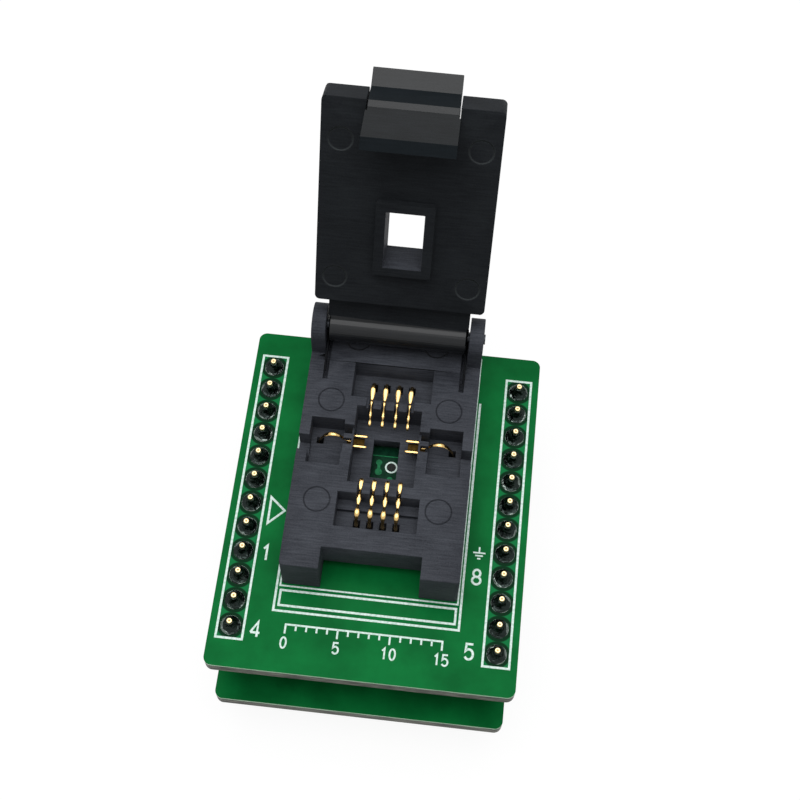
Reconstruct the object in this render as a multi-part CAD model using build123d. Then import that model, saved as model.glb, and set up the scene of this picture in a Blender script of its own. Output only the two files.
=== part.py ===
from build123d import *
from math import atan2, ceil, cos, degrees, pi, radians, sin, sqrt
import os

# Programming socket: a clamshell test socket on a board that plugs onto a carrier board.
# Millimetres. X right, Y away from the user, Z up. The origin is the centre of the carrier's
# pin pattern, at the pin tips. Lengths marked "above the board" start at the upper board's top.

# Pin pattern and boards
PITCH = 2.54
PINS_PER_ROW = 12
LEG_ROW_X = 3 * PITCH
PLUG_ROW_X = 5 * PITCH
BOARD_THICK = 1.6
BOARD_CORNER = 0.8
UPPER_WIDTH, UPPER_FRONT, UPPER_REAR = 29.5, -18.0, 17.9
LOWER_WIDTH, LOWER_LENGTH = 28.4, 38.3

# Turned pins, sleeves and the plastic strips that hold them
STRIP_WIDTH = 2.5
STRIP_HEIGHT = 2.8
SLEEVE_STRIP_HEIGHT = 3.0
LEG_LENGTH = 3.2
LEG_R = 0.25
TURNED_SIDES = 6
PIN_R = 0.27
SLEEVE_R = 0.68
STRIP_HOLE_CLEAR = 0.03
BOARD_HOLE_CLEAR = 0.15
PLUG_LENGTH = 2.7
SLEEVE_CLEAR = 0.06
NICK_DEPTH = 0.3
PIN_TIP_ABOVE = 1.46
SOLDER_R = 1.05
SOLDER_HEIGHT = 1.05
SOLDER_WAIST_R, SOLDER_WAIST_HEIGHT = 0.62, 0.42
SOLDER_NECK_R = 0.38
BEAD_R, BEAD_TOP_R, BEAD_HEIGHT = 0.6, 0.3, 0.6

# Socket base, above the board
BASE_HALF = 8.5
BASE_REAR = 17.6
BASE_TOP = 5.3
BASE_CORNER = 0.35
REAR_STEP_Y, REAR_STEP = 12.75, 0.12
NEST_Y = 3.95
NEST_HALF_X, NEST_HALF_Y = 3.2, 4.08
NEST_FLOOR = 2.05
WINDOW_HALF_X, WINDOW_HALF_Y = 1.3, 2.05
POCKET_HALF_X = 3.95
POCKET_FLOOR = 2.75
DIVIDER_FRONT, DIVIDER_REAR = 1.14, 0.97
POCKET_OUTER = 8.77
FRONT_LEDGE_DEPTH, FRONT_LEDGE_Z = 1.0, 3.25
DIVIDER_NOTCH_HALF_X, DIVIDER_NOTCH_Z, DIVIDER_NOTCH_REACH = 2.35, 4.85, 3.69
SIDE_POCKET_INNER, SIDE_POCKET_OUTER = 4.2, 7.45
SIDE_POCKET_FRONT, SIDE_POCKET_REAR = 1.45, 6.33
SIDE_NOTCH_FRONT, SIDE_NOTCH_REAR, SIDE_NOTCH_Z = 2.75, 4.35, 3.2
SHELF_FRONT, SHELF_Z = 2.8, 4.5
FORK_FLOOR, FORK_ROOF = 3.0, 3.95
LINTEL_THICK = 0.2
SPRING_SLOT_WIDTH, SPRING_SLOT_SIDE = 0.48, 0.07
SPRING_SLOT_FRONT, SPRING_SLOT_FLOOR = 10.62, 4.2
PEG_R, PEG_LENGTH, PEG_CLEAR = 0.6, 1.3, 0.05
PEG_ROOT = 1.0
PEGS = ((-7.3, 9.0), (7.3, -5.6))

# Notch for the latch in the base's front
HOOK_NOTCH_DEPTH, HOOK_NOTCH_CLEAR = 2.2, 0.58
HOOK_POCKET_DEPTH, HOOK_POCKET_HEIGHT = 0.75, 1.6

# Spring contacts: paths are (distance from the nest centre, height above the board)
CONTACTS_PER_ROW = 4
CONTACT_PITCH = 1.27
CONTACT_THICK = 0.18
CONTACT_BEND = 0.42
CONTACT_WIDE, CONTACT_NARROW = 0.5, 0.3
CONTACT_SHOULDER = 5.3
CONTACT_STEM = 7.7
CONTACT_DROP = 0.9
CONTACT_SLOT_CLEAR = 0.08
STEM_SLOT_BACK = 0.35
TAIL_HALF = 0.2
ARM_PATH = ((2.9, 3.25), (4.0, 4.22), (5.2, 4.6), (6.55, 4.62), (7.35, 3.9))
GROUND_Y = 5.0
GROUND_STEM = 6.75
GROUND_PATH = ((1.9, 3.5), (4.1, 3.5), (4.65, 4.35), (5.3, 4.62), (5.9, 4.4), (6.4, 3.5))
GROUND_BEND = 0.2
GROUND_ARM = 0.3
PRONG_HALF_SPREAD = 0.56
PRONG_WIDTH = 0.28
FORK_FROM, FORK_TO = 3.45, 3.9

# Plate under the base that holds the contact stems
RETAINER_HEIGHT = 0.9
RETAINER_CLEAR = 0.05
RETAINER_HALF_X = 3.3
RETAINER_END = 0.7
RETAINER_ARM_HALF = 1.1
RETAINER_WINDOW_CLEAR = 0.3

# Hinge
HINGE_Y, HINGE_Z = 15.585, 7.54
EAR_THICK = 1.4
EAR_R = 2.03
EAR_ROOT = 1.0
HINGE_PIN_R = 0.5
HINGE_PIN_HEAD = 0.15
HINGE_CLEAR = 0.03
OPEN_ANGLE = 117.9
BARREL_R = 1.62
BARREL_END_GAP = 0.35
NECK_END_GAP = 0.17
NECK_RECESS, NECK_ROOT = 1.1, 1.0
STOP_HALF = 2.6
STOP_CLEAR = 0.04
STOP_SET_BACK, STOP_HEIGHT = 0.2, 1.72
END_CUT_MARGIN = 0.3

# Lid, in its closed pose
LID_INSET = 0.28
LID_LENGTH = 21.04
LID_OVERHANG = 0.295
LID_THICK = 2.82
LID_TO_HINGE = 4.09
LID_REST_GAP = 0.1
LID_CORNER = 0.5
PAD_HALF_X = 2.75
PAD_REAR, PAD_FRONT = 3.73, 11.35
PAD_DROP, PAD_ROOT = 0.75, 0.5
PORT_HALF_X, PORT_REAR, PORT_FRONT = 1.82, 4.62, 10.45
PORT_TOP_HALF_X, PORT_TOP_REAR, PORT_TOP_FRONT = 1.68, 5.08, 10.2
LATCH_NOTCH_HALF, LATCH_NOTCH_DEPTH = 4.2, 4.04

# Latch: outline points are (distance past the lid's free end, distance below its inner face)
LATCH_NOTCH_CLEAR = 0.1
HOOK_EXTRA_HALF, HOOK_EXTRA_FROM = 0.15, 0.6
LATCH_TAIL = -3.37
LATCH_OUTLINE = (
    (1.46, -3.9), (0.16, -2.6), (-0.14, -0.3), (-0.59, 0.2), (-1.74, 4.0), (-2.79, 4.5),
    (-2.79, 4.05), (-2.29, 3.7), (-1.69, 0.3), (-3.44, -0.2), (-3.74, -2.4), (-3.74, LATCH_TAIL),
    (-5.94, LATCH_TAIL), (-5.94, -4.15), (-3.04, -4.6), (0.96, -4.6),
)
LATCH_PIVOT = (-2.44, -1.5)
LATCH_PIN_R, LATCH_PIN_HALF = 0.4, 6.4
LATCH_RUNNING = 0.05
LATCH_PRESS = 0.01

# Springs
LID_WIRE_R = 0.11
LID_COIL_R = 0.78
LID_COIL_DEEP, LID_COIL_OUT = 0.92, 0.17
LID_LEG_SLOPE, LID_LEG_LENGTH = 20.0, 4.6
LID_STUB_R = 1.9
LID_SPRING_TURNS = 2
SPRING_BORE_R, SPRING_BORE_PAST = 1.02, 0.2
STUB_CLEAR, STUB_END_CLEAR = 0.04, 0.15
LATCH_WIRE_R = 0.09
LATCH_COIL_R = 0.5
LATCH_COIL_X, LATCH_COIL_AT = 2.2, -5.04
LATCH_POCKET_R, LATCH_POCKET_FLOOR = 0.68, 1.2
LATCH_SPRING_TURNS = 3
COIL_SIDES = 10
WIRE_SIDES = 4
SPRING_SEAT = 0.02

# Heights from the pin tips up
LOWER_BOTTOM = LEG_LENGTH + STRIP_HEIGHT
LOWER_TOP = LOWER_BOTTOM + BOARD_THICK
UPPER_BOTTOM = LOWER_TOP + SLEEVE_STRIP_HEIGHT + STRIP_HEIGHT
BOARD = UPPER_BOTTOM + BOARD_THICK

# Closed lid: inner face, outer face and rear edge
LID_INNER = BASE_TOP + LID_REST_GAP
LID_OUTER = LID_INNER + LID_THICK
LID_REAR = HINGE_Y - LID_TO_HINGE
LID_FRONT = LID_REAR - LID_LENGTH
BASE_FRONT = LID_FRONT + LID_OVERHANG

# Widths across the hinge, from the base's side inwards
LID_HALF = BASE_HALF - LID_INSET
EAR_IN = BASE_HALF - EAR_THICK
BARREL_HALF = EAR_IN - BARREL_END_GAP
NECK_HALF = EAR_IN - NECK_END_GAP
LID_COIL_FROM, LID_COIL_TO = EAR_IN - LID_COIL_DEEP, EAR_IN - LID_COIL_OUT
SPRING_SLOT_OUT = EAR_IN - SPRING_SLOT_SIDE
SPRING_SLOT_IN = SPRING_SLOT_OUT - SPRING_SLOT_WIDTH
HOOK_NOTCH_HALF = LATCH_NOTCH_HALF + HOOK_NOTCH_CLEAR
HOOK_NOTCH_BACK = BASE_FRONT + HOOK_NOTCH_DEPTH
ROW_YS = [(i - (PINS_PER_ROW - 1) / 2) * PITCH for i in range(PINS_PER_ROW)]
CONTACT_XS = [(i - (CONTACTS_PER_ROW - 1) / 2) * CONTACT_PITCH for i in range(CONTACTS_PER_ROW)]
HINGE = Axis((0, HINGE_Y, HINGE_Z), (1, 0, 0))


def block(x, y, z):
    """Box between the two bounds given for each axis."""
    sizes = [high - low for low, high in (x, y, z)]
    middle = [(low + high) / 2 for low, high in (x, y, z)]
    return Pos(*middle) * Box(*sizes)


def upright(radius, z):
    """Cylinder about the Z axis between two heights."""
    return Pos(0, 0, (z[0] + z[1]) / 2) * Cylinder(radius, z[1] - z[0])


def along_x(radius, x, y=0.0, z=0.0):
    """Cylinder along X between two bounds."""
    return Pos((x[0] + x[1]) / 2, y, z) * Rot(0, 90, 0) * Cylinder(radius, x[1] - x[0])


def faceted(radius, z, top_radius=None):
    """Turned piece in few facets: a prism, or a frustum where the top has its own radius."""
    low = Pos(0, 0, z[0]) * RegularPolygon(radius, TURNED_SIDES)
    height = z[1] - z[0]
    if top_radius is None:
        return extrude(low, amount=height)
    narrowing = (radius - top_radius) * cos(pi / TURNED_SIDES)
    return extrude(low, amount=height, taper=degrees(atan2(narrowing, height)))


def spread(shape, spots):
    """Copies of a shape at (x, y) spots, as one group of separate solids."""
    return Compound([(Pos(x, y, 0) * shape).solid() for x, y in spots])


def both_sides(shape):
    """A shape and its mirror image across the middle plane."""
    return shape + mirror(shape, Plane.YZ)


def save(node, shape, lift=0.0):
    """Write one named piece, raised by lift."""
    export_step(Pos(0, 0, lift) * shape, f"parts/{node}.step")


# Boards
def board_plate(x_half, y, z, spots):
    """Board with rounded corners and a plated hole at each spot."""
    plate = block((-x_half, x_half), y, z)
    plate = fillet(plate.edges().filter_by(Axis.Z), BOARD_CORNER)
    hole = faceted(PIN_R + BOARD_HOLE_CLEAR, z)
    return plate - [Pos(px, py, 0) * hole for px, py in spots]


def row_spots(x):
    return [(x, y) for y in ROW_YS]


def tail_spots():
    """Where the contact tails pass through the upper board."""
    rows = [(x, NEST_Y + side * CONTACT_STEM) for side in (-1, 1) for x in CONTACT_XS]
    return rows + [(side * GROUND_STEM, GROUND_Y) for side in (-1, 1)]


def lower_board():
    spots = [s for x in (LEG_ROW_X, PLUG_ROW_X) for side in (-1, 1) for s in row_spots(side * x)]
    y = (-LOWER_LENGTH / 2, LOWER_LENGTH / 2)
    return board_plate(LOWER_WIDTH / 2, y, (LOWER_BOTTOM, LOWER_TOP), spots)


def upper_board():
    spots = row_spots(-PLUG_ROW_X) + row_spots(PLUG_ROW_X) + tail_spots()
    z = (UPPER_BOTTOM, BOARD)
    plate = board_plate(UPPER_WIDTH / 2, (UPPER_FRONT, UPPER_REAR), z, spots)
    return plate - [Pos(x, y, 0) * upright(PEG_R + PEG_CLEAR, z) for x, y in PEGS]


# Pin rows
def strip(x, z, hole_r):
    """Breakaway strip: a hole at each pin and a nick in its outer face between neighbours."""
    half = PINS_PER_ROW * PITCH / 2
    bar = block((x - STRIP_WIDTH / 2, x + STRIP_WIDTH / 2), (-half, half), z)
    nick = Rot(0, 0, 45) * Box(NICK_DEPTH * sqrt(2), NICK_DEPTH * sqrt(2), z[1] - z[0])
    face_x = x + STRIP_WIDTH / 2 * (1 if x > 0 else -1)
    middle = (z[0] + z[1]) / 2
    bar -= [Pos(face_x, (a + b) / 2, middle) * nick for a, b in zip(ROW_YS, ROW_YS[1:])]
    hole = faceted(hole_r + STRIP_HOLE_CLEAR, z)
    return bar - [Pos(x, y, 0) * hole for y in ROW_YS]


def leg_pin():
    """Leg: round below its strip, and a thicker root through the strip and the lower board."""
    return upright(LEG_R, (0, LEG_LENGTH)) + faceted(PIN_R, (LEG_LENGTH, LOWER_TOP))


def sleeve():
    """Receptacle: bored body in its strip, with a tail down to the lower board's underside."""
    top = LOWER_TOP + SLEEVE_STRIP_HEIGHT
    body = faceted(SLEEVE_R, (LOWER_TOP, top)) + faceted(PIN_R, (LOWER_BOTTOM, LOWER_TOP))
    return body - faceted(PIN_R + SLEEVE_CLEAR, (top - PLUG_LENGTH - SLEEVE_CLEAR, top))


def plug_pin():
    """Plug pin: tip above the upper board, plug end inside the sleeve."""
    return faceted(PIN_R, (UPPER_BOTTOM - STRIP_HEIGHT - PLUG_LENGTH, BOARD + PIN_TIP_ABOVE))


def solder_cone():
    """Solder drawn up round a pin in a hollow curve, from the upper board's top."""
    foot = faceted(SOLDER_R, (BOARD, BOARD + SOLDER_WAIST_HEIGHT), SOLDER_WAIST_R)
    neck = faceted(
        SOLDER_WAIST_R, (BOARD + SOLDER_WAIST_HEIGHT, BOARD + SOLDER_HEIGHT), SOLDER_NECK_R)
    return foot + neck - faceted(PIN_R, (BOARD, BOARD + SOLDER_HEIGHT))


def solder_bead(foot, down=False):
    """Solder bead over a pin end that stops at the board's face."""
    bead = faceted(BEAD_R, (0, BEAD_HEIGHT), BEAD_TOP_R)
    return Pos(0, 0, foot) * (mirror(bead, Plane.XY) if down else bead)


# Spring contacts
def ribbon(path, stem, width, bend):
    """Bent strip along Y: bends of one radius and a straight stem down through the board."""
    points = [*path, (stem, path[-1][1] - CONTACT_DROP), (stem, -BOARD_THICK)]
    line = FilletPolyline(*points, radius=bend)
    return extrude(Plane.YZ * trace(line, CONTACT_THICK), amount=width / 2, both=True)


def stretch(half, start, stop, bottom=0.0):
    """Block over a stretch of a contact, for trimming the strip in plan."""
    return block((-half, half), (start, stop), (bottom, BASE_TOP))


def row_contact():
    """Contact with a wide arch and stem and a narrow arm, reaching towards +Y from the nest."""
    end = CONTACT_STEM + CONTACT_THICK
    plan = stretch(CONTACT_NARROW / 2, 0, CONTACT_SHOULDER)
    plan += stretch(CONTACT_WIDE / 2, CONTACT_SHOULDER, end)
    plan += stretch(TAIL_HALF, CONTACT_SHOULDER, end, -BOARD_THICK)
    return ribbon(ARM_PATH, CONTACT_STEM, CONTACT_WIDE, CONTACT_BEND) & plan


def ground_contact():
    """Forked contact: one narrow arch, and two prongs that start under the land."""
    end = GROUND_STEM + CONTACT_THICK
    fork_half = PRONG_HALF_SPREAD + PRONG_WIDTH / 2
    prong = stretch(PRONG_WIDTH / 2, 0, FORK_TO)
    plan = Pos(PRONG_HALF_SPREAD, 0, 0) * prong + Pos(-PRONG_HALF_SPREAD, 0, 0) * prong
    plan += stretch(fork_half, FORK_FROM, FORK_TO)
    plan += stretch(GROUND_ARM / 2, FORK_FROM, end)
    plan += stretch(GROUND_ARM / 2, FORK_TO, end, -BOARD_THICK)
    return ribbon(GROUND_PATH, GROUND_STEM, 2 * fork_half, GROUND_BEND) & plan


def place_row_contact(x, rear):
    turn = 0 if rear else 180
    return Pos(x, NEST_Y, 0) * Rot(0, 0, turn) * row_contact()


def place_ground_contact(right):
    return Pos(0, GROUND_Y, 0) * Rot(0, 0, -90 if right else 90) * ground_contact()


def stem_slots(z):
    """Slots round every contact stem, through the heights given."""
    half_x = CONTACT_WIDE / 2 + CONTACT_SLOT_CLEAR
    past = CONTACT_THICK / 2 + CONTACT_SLOT_CLEAR
    near, far = ARM_PATH[-1][0] - STEM_SLOT_BACK, CONTACT_STEM + past
    one = block((-half_x, half_x), (near, far), z)
    rows = [Pos(x, NEST_Y, 0) * Rot(0, 0, turn) * one for turn in (0, 180) for x in CONTACT_XS]
    one = block((-half_x, half_x), (GROUND_PATH[-1][0] - past, GROUND_STEM + past), z)
    return rows + [Pos(0, GROUND_Y, 0) * Rot(0, 0, turn) * one for turn in (90, -90)]


# Contact retainer and its seat under the base
def retainer_plan(clear, z):
    end = CONTACT_STEM + RETAINER_END + clear
    long_ = block(
        (-RETAINER_HALF_X - clear, RETAINER_HALF_X + clear), (NEST_Y - end, NEST_Y + end), z)
    reach = GROUND_STEM + RETAINER_END / 2 + clear
    cross = block(
        (-reach, reach),
        (GROUND_Y - RETAINER_ARM_HALF - clear, GROUND_Y + RETAINER_ARM_HALF + clear), z)
    return long_ + cross


def contact_retainer():
    z = (0, RETAINER_HEIGHT)
    plate = retainer_plan(0, z) - stem_slots(z)
    half_x = WINDOW_HALF_X + RETAINER_WINDOW_CLEAR
    half_y = WINDOW_HALF_Y + RETAINER_WINDOW_CLEAR
    return plate - block((-half_x, half_x), (NEST_Y - half_y, NEST_Y + half_y), z)


# Socket base
def ear():
    """Hinge ear on the right: round end about the hinge line, running down into the base."""
    x = (EAR_IN, BASE_HALF)
    round_end = along_x(EAR_R, x, HINGE_Y, HINGE_Z)
    post = block(x, (HINGE_Y - EAR_R, HINGE_Y + EAR_R), (BASE_TOP - EAR_ROOT, HINGE_Z))
    return round_end + post & block(x, (BASE_FRONT, BASE_REAR), (0, 2 * HINGE_Z))


def nest_cuts():
    """Device nest, its window, and the front and rear contact pockets."""
    nest = block(
        (-NEST_HALF_X, NEST_HALF_X), (NEST_Y - NEST_HALF_Y, NEST_Y + NEST_HALF_Y),
        (NEST_FLOOR, BASE_TOP))
    window = block(
        (-WINDOW_HALF_X, WINDOW_HALF_X), (NEST_Y - WINDOW_HALF_Y, NEST_Y + WINDOW_HALF_Y),
        (0, NEST_FLOOR))
    x = (-POCKET_HALF_X, POCKET_HALF_X)
    inner = NEST_Y + NEST_HALF_Y + DIVIDER_REAR
    rear = block(x, (inner, NEST_Y + POCKET_OUTER), (POCKET_FLOOR, BASE_TOP))
    inner = NEST_Y - NEST_HALF_Y - DIVIDER_FRONT
    shelf = block(x, (inner - FRONT_LEDGE_DEPTH, inner), (FRONT_LEDGE_Z, BASE_TOP))
    front = block(x, (NEST_Y - POCKET_OUTER, inner - FRONT_LEDGE_DEPTH), (POCKET_FLOOR, BASE_TOP))
    notch_from = NEST_Y + NEST_HALF_Y
    notch = block(
        (-DIVIDER_NOTCH_HALF_X, DIVIDER_NOTCH_HALF_X),
        (notch_from, notch_from + DIVIDER_NOTCH_REACH), (DIVIDER_NOTCH_Z, BASE_TOP))
    return [nest, window, rear, shelf, front, notch]


def divider_slots():
    """Open slots that let the narrow arms cross from the pockets into the nest."""
    half = CONTACT_NARROW / 2 + CONTACT_SLOT_CLEAR
    y = (NEST_HALF_Y, NEST_HALF_Y + DIVIDER_FRONT)
    one = block((-half, half), y, (FRONT_LEDGE_Z, BASE_TOP))
    return [Pos(x, NEST_Y, 0) * Rot(0, 0, turn) * one for turn in (0, 180) for x in CONTACT_XS]


def side_cuts():
    """Right-hand pocket for the forked contact, with its channel, shelf and outer notch."""
    pocket = block(
        (SIDE_POCKET_INNER, SIDE_POCKET_OUTER), (SIDE_POCKET_FRONT, SIDE_POCKET_REAR),
        (POCKET_FLOOR, BASE_TOP))
    wall = (NEST_HALF_X, SIDE_POCKET_INNER)
    half = PRONG_HALF_SPREAD + PRONG_WIDTH / 2 + 2 * CONTACT_SLOT_CLEAR
    shelf = block(wall, (SHELF_FRONT, GROUND_Y + half), (SHELF_Z, BASE_TOP))
    tunnel = block(wall, (GROUND_Y - half, GROUND_Y + half), (FORK_FLOOR, FORK_ROOF))
    behind_lintel = (NEST_HALF_X + LINTEL_THICK, SIDE_POCKET_INNER)
    slots = block(behind_lintel, (GROUND_Y - half, GROUND_Y + half), (FORK_ROOF, SHELF_Z))
    land_half = PRONG_HALF_SPREAD - PRONG_WIDTH / 2 - 2 * CONTACT_SLOT_CLEAR
    land = block(
        behind_lintel, (GROUND_Y - land_half, GROUND_Y + land_half), (FORK_ROOF, SHELF_Z))
    notch = block(
        (SIDE_POCKET_OUTER, BASE_HALF), (SIDE_NOTCH_FRONT, SIDE_NOTCH_REAR),
        (SIDE_NOTCH_Z, BASE_TOP))
    return pocket + shelf + tunnel + (slots - land) + notch


def socket_base():
    body = block((-BASE_HALF, BASE_HALF), (BASE_FRONT, BASE_REAR), (0, BASE_TOP))
    body = fillet(body.edges().filter_by(Axis.Z).sort_by(Axis.Y)[:2], BASE_CORNER)
    body -= block((-BASE_HALF, BASE_HALF), (REAR_STEP_Y, BASE_REAR), (BASE_TOP - REAR_STEP, BASE_TOP))
    body += both_sides(ear())
    hook = block(
        (-HOOK_NOTCH_HALF, HOOK_NOTCH_HALF), (BASE_FRONT, HOOK_NOTCH_BACK), (0, BASE_TOP))
    under = block(
        (-HOOK_NOTCH_HALF, HOOK_NOTCH_HALF),
        (HOOK_NOTCH_BACK, HOOK_NOTCH_BACK + HOOK_POCKET_DEPTH), (0, HOOK_POCKET_HEIGHT))
    leg = block(
        (SPRING_SLOT_IN, SPRING_SLOT_OUT), (SPRING_SLOT_FRONT, HINGE_Y),
        (SPRING_SLOT_FLOOR, BASE_TOP))
    bore = along_x(HINGE_PIN_R + LATCH_PRESS, (EAR_IN, BASE_HALF), HINGE_Y, HINGE_Z)
    body -= nest_cuts() + divider_slots() + stem_slots((RETAINER_HEIGHT, POCKET_FLOOR))
    body -= [hook, under, both_sides(side_cuts()), both_sides(leg), both_sides(bore)]
    body -= retainer_plan(RETAINER_CLEAR, (0, RETAINER_HEIGHT + RETAINER_CLEAR))
    pegs = [Pos(x, y, 0) * upright(PEG_R, (-PEG_LENGTH, PEG_ROOT)) for x, y in PEGS]
    return body + pegs


# Lid, latch and hinge, drawn closed and then swung open about the hinge
def lid_point(v, n):
    """(y, z) in the closed pose of a point v from the lid's rear edge and n below its inner face."""
    return LID_REAR - v, LID_INNER - n


def end_point(v, n):
    """The same, for a point v past the lid's free end."""
    return lid_point(LID_LENGTH + v, n)


def swung(shape):
    """Turn a closed-pose shape to the open pose."""
    return shape.rotate(HINGE, -OPEN_ANGLE)


def lid_block(x_half, v, n):
    (y0, z0), (y1, z1) = lid_point(v[0], n[0]), lid_point(v[1], n[1])
    return block((-x_half, x_half), sorted((y0, y1)), sorted((z0, z1)))


def port():
    """Viewing port through pad and lid, narrowing upwards."""
    low = LID_INNER - PAD_DROP
    faces = []
    for z, half, rear, front in (
        (low, PORT_HALF_X, PORT_REAR, PORT_FRONT),
        (LID_OUTER, PORT_TOP_HALF_X, PORT_TOP_REAR, PORT_TOP_FRONT),
    ):
        middle = LID_REAR - (rear + front) / 2
        faces.append(Pos(0, middle, z) * Rectangle(2 * half, front - rear))
    return loft(faces)


def lid_stop():
    """Heel behind the barrel that meets the base when the lid is fully open."""
    top = BASE_TOP - REAR_STEP + STOP_CLEAR
    y = (HINGE_Y, BASE_REAR - STOP_SET_BACK)
    heel = block((-STOP_HALF, STOP_HALF), y, (top, top + STOP_HEIGHT))
    return heel - along_x(HINGE_PIN_R + HINGE_CLEAR, (-STOP_HALF, STOP_HALF), HINGE_Y, HINGE_Z)


def lid_spring_seat():
    """Counterbore in the right end of the barrel and the hole for the spring's stub."""
    bore = along_x(
        SPRING_BORE_R, (LID_COIL_FROM - SPRING_BORE_PAST, NECK_HALF), HINGE_Y, HINGE_Z)
    half = LID_WIRE_R + STUB_CLEAR
    x = (LID_COIL_FROM - half, LID_COIL_FROM + half)
    hole = block(
        x, (HINGE_Y - LID_STUB_R - STUB_END_CLEAR, HINGE_Y), (HINGE_Z - half, HINGE_Z + half))
    return bore + hole


def lid():
    plate = lid_block(LID_HALF, (0, LID_LENGTH), (0, -LID_THICK))
    plate = fillet(plate.edges().filter_by(Axis.Z), LID_CORNER)
    plate += lid_block(PAD_HALF_X, (PAD_REAR, PAD_FRONT), (-PAD_ROOT, PAD_DROP))
    neck = lid_block(NECK_HALF, (-LID_TO_HINGE, NECK_ROOT), (-NECK_RECESS, -LID_THICK))
    ends = along_x(BARREL_R + END_CUT_MARGIN, (BARREL_HALF, NECK_HALF), HINGE_Y, HINGE_Z)
    neck -= [ends, mirror(ends, Plane.YZ)]
    barrel = along_x(BARREL_R, (-BARREL_HALF, BARREL_HALF), HINGE_Y, HINGE_Z)
    body = plate + neck + barrel
    body += lid_stop().rotate(HINGE, OPEN_ANGLE)
    bore = along_x(HINGE_PIN_R + HINGE_CLEAR, (-NECK_HALF, NECK_HALF), HINGE_Y, HINGE_Z)
    notch = lid_block(LATCH_NOTCH_HALF, (LID_LENGTH - LATCH_NOTCH_DEPTH, LID_LENGTH), (0, -LID_THICK))
    y, z = end_point(*LATCH_PIVOT)
    pin = along_x(LATCH_PIN_R + LATCH_PRESS, (-LATCH_PIN_HALF, LATCH_PIN_HALF), y, z)
    pocket = Pos(LATCH_COIL_X, LID_FRONT - LATCH_COIL_AT, 0) * upright(
        LATCH_POCKET_R, (LID_INNER + LATCH_POCKET_FLOOR, LID_OUTER))
    body -= [bore, notch, pin, port(), both_sides(pocket), both_sides(lid_spring_seat())]
    return body


def latch():
    """Lift-tab latch: finger tab in front, hook below, tail over the two springs."""
    points = [end_point(*p) for p in LATCH_OUTLINE]
    face = Plane.YZ * make_face(Polyline(*points, close=True))
    half = LATCH_NOTCH_HALF - LATCH_NOTCH_CLEAR
    y, z = end_point(*LATCH_PIVOT)
    body = extrude(face, amount=half, both=True)
    wide = extrude(face, amount=half + HOOK_EXTRA_HALF, both=True)
    wide &= lid_block(LID_HALF, (0, 2 * LID_LENGTH), (HOOK_EXTRA_FROM, BASE_TOP))
    return body + wide - along_x(LATCH_PIN_R + LATCH_RUNNING, (-half, half), y, z)


def coil_points(radius, start, turn, rise):
    """Points along a coil as (across, up, along), from a start angle through a turn, in degrees."""
    steps = ceil(abs(turn) * COIL_SIDES / 360)
    angles = [radians(start + turn * i / steps) for i in range(steps + 1)]
    return [(radius * cos(a), radius * sin(a), rise * i / steps) for i, a in enumerate(angles)]


def wire(points, radius):
    """Spring wire through a run of points."""
    line = Polyline(*points)
    section = Plane(line @ 0, z_dir=line % 0) * RegularPolygon(radius, WIRE_SIDES)
    return sweep(section, path=line, transition=Transition.RIGHT)


def lid_spring():
    """Right torsion spring, in the open pose: stub in the lid, coil on the pin, leg in the base."""
    lid_way = 180 - OPEN_ANGLE
    leg_from = LID_LEG_SLOPE - 90
    turn = leg_from - lid_way - 360 * LID_SPRING_TURNS
    rise = LID_COIL_TO - LID_COIL_FROM
    points = coil_points(LID_COIL_R, lid_way, turn, rise)
    stub = (LID_STUB_R * cos(radians(lid_way)), LID_STUB_R * sin(radians(lid_way)), 0)
    across, up, _ = points[-1]
    slope = radians(LID_LEG_SLOPE)
    leg = (across - LID_LEG_LENGTH * cos(slope), up - LID_LEG_LENGTH * sin(slope), rise)
    run = [stub, *points, leg]
    return wire([(LID_COIL_FROM + a, HINGE_Y + y, HINGE_Z + z) for y, z, a in run], LID_WIRE_R)


def latch_springs():
    """Two compression springs between the lid's pockets and the latch's tail."""
    low = LATCH_POCKET_FLOOR + LATCH_WIRE_R + SPRING_SEAT
    high = -LATCH_TAIL - LATCH_WIRE_R - SPRING_SEAT
    y = LID_FRONT - LATCH_COIL_AT
    run = coil_points(LATCH_COIL_R, 0, 360 * LATCH_SPRING_TURNS, high - low)
    springs = []
    for side in (-1, 1):
        seat = Pos(side * LATCH_COIL_X, y, LID_INNER + low)
        springs.append(swung(seat * wire(run, LATCH_WIRE_R)).solid())
    return Compound(springs)


def hinge_pin():
    half = BASE_HALF + HINGE_PIN_HEAD
    return along_x(HINGE_PIN_R, (-half, half), HINGE_Y, HINGE_Z)


def latch_pin():
    y, z = end_point(*LATCH_PIVOT)
    return swung(along_x(LATCH_PIN_R, (-LATCH_PIN_HALF, LATCH_PIN_HALF), y, z))


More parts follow.
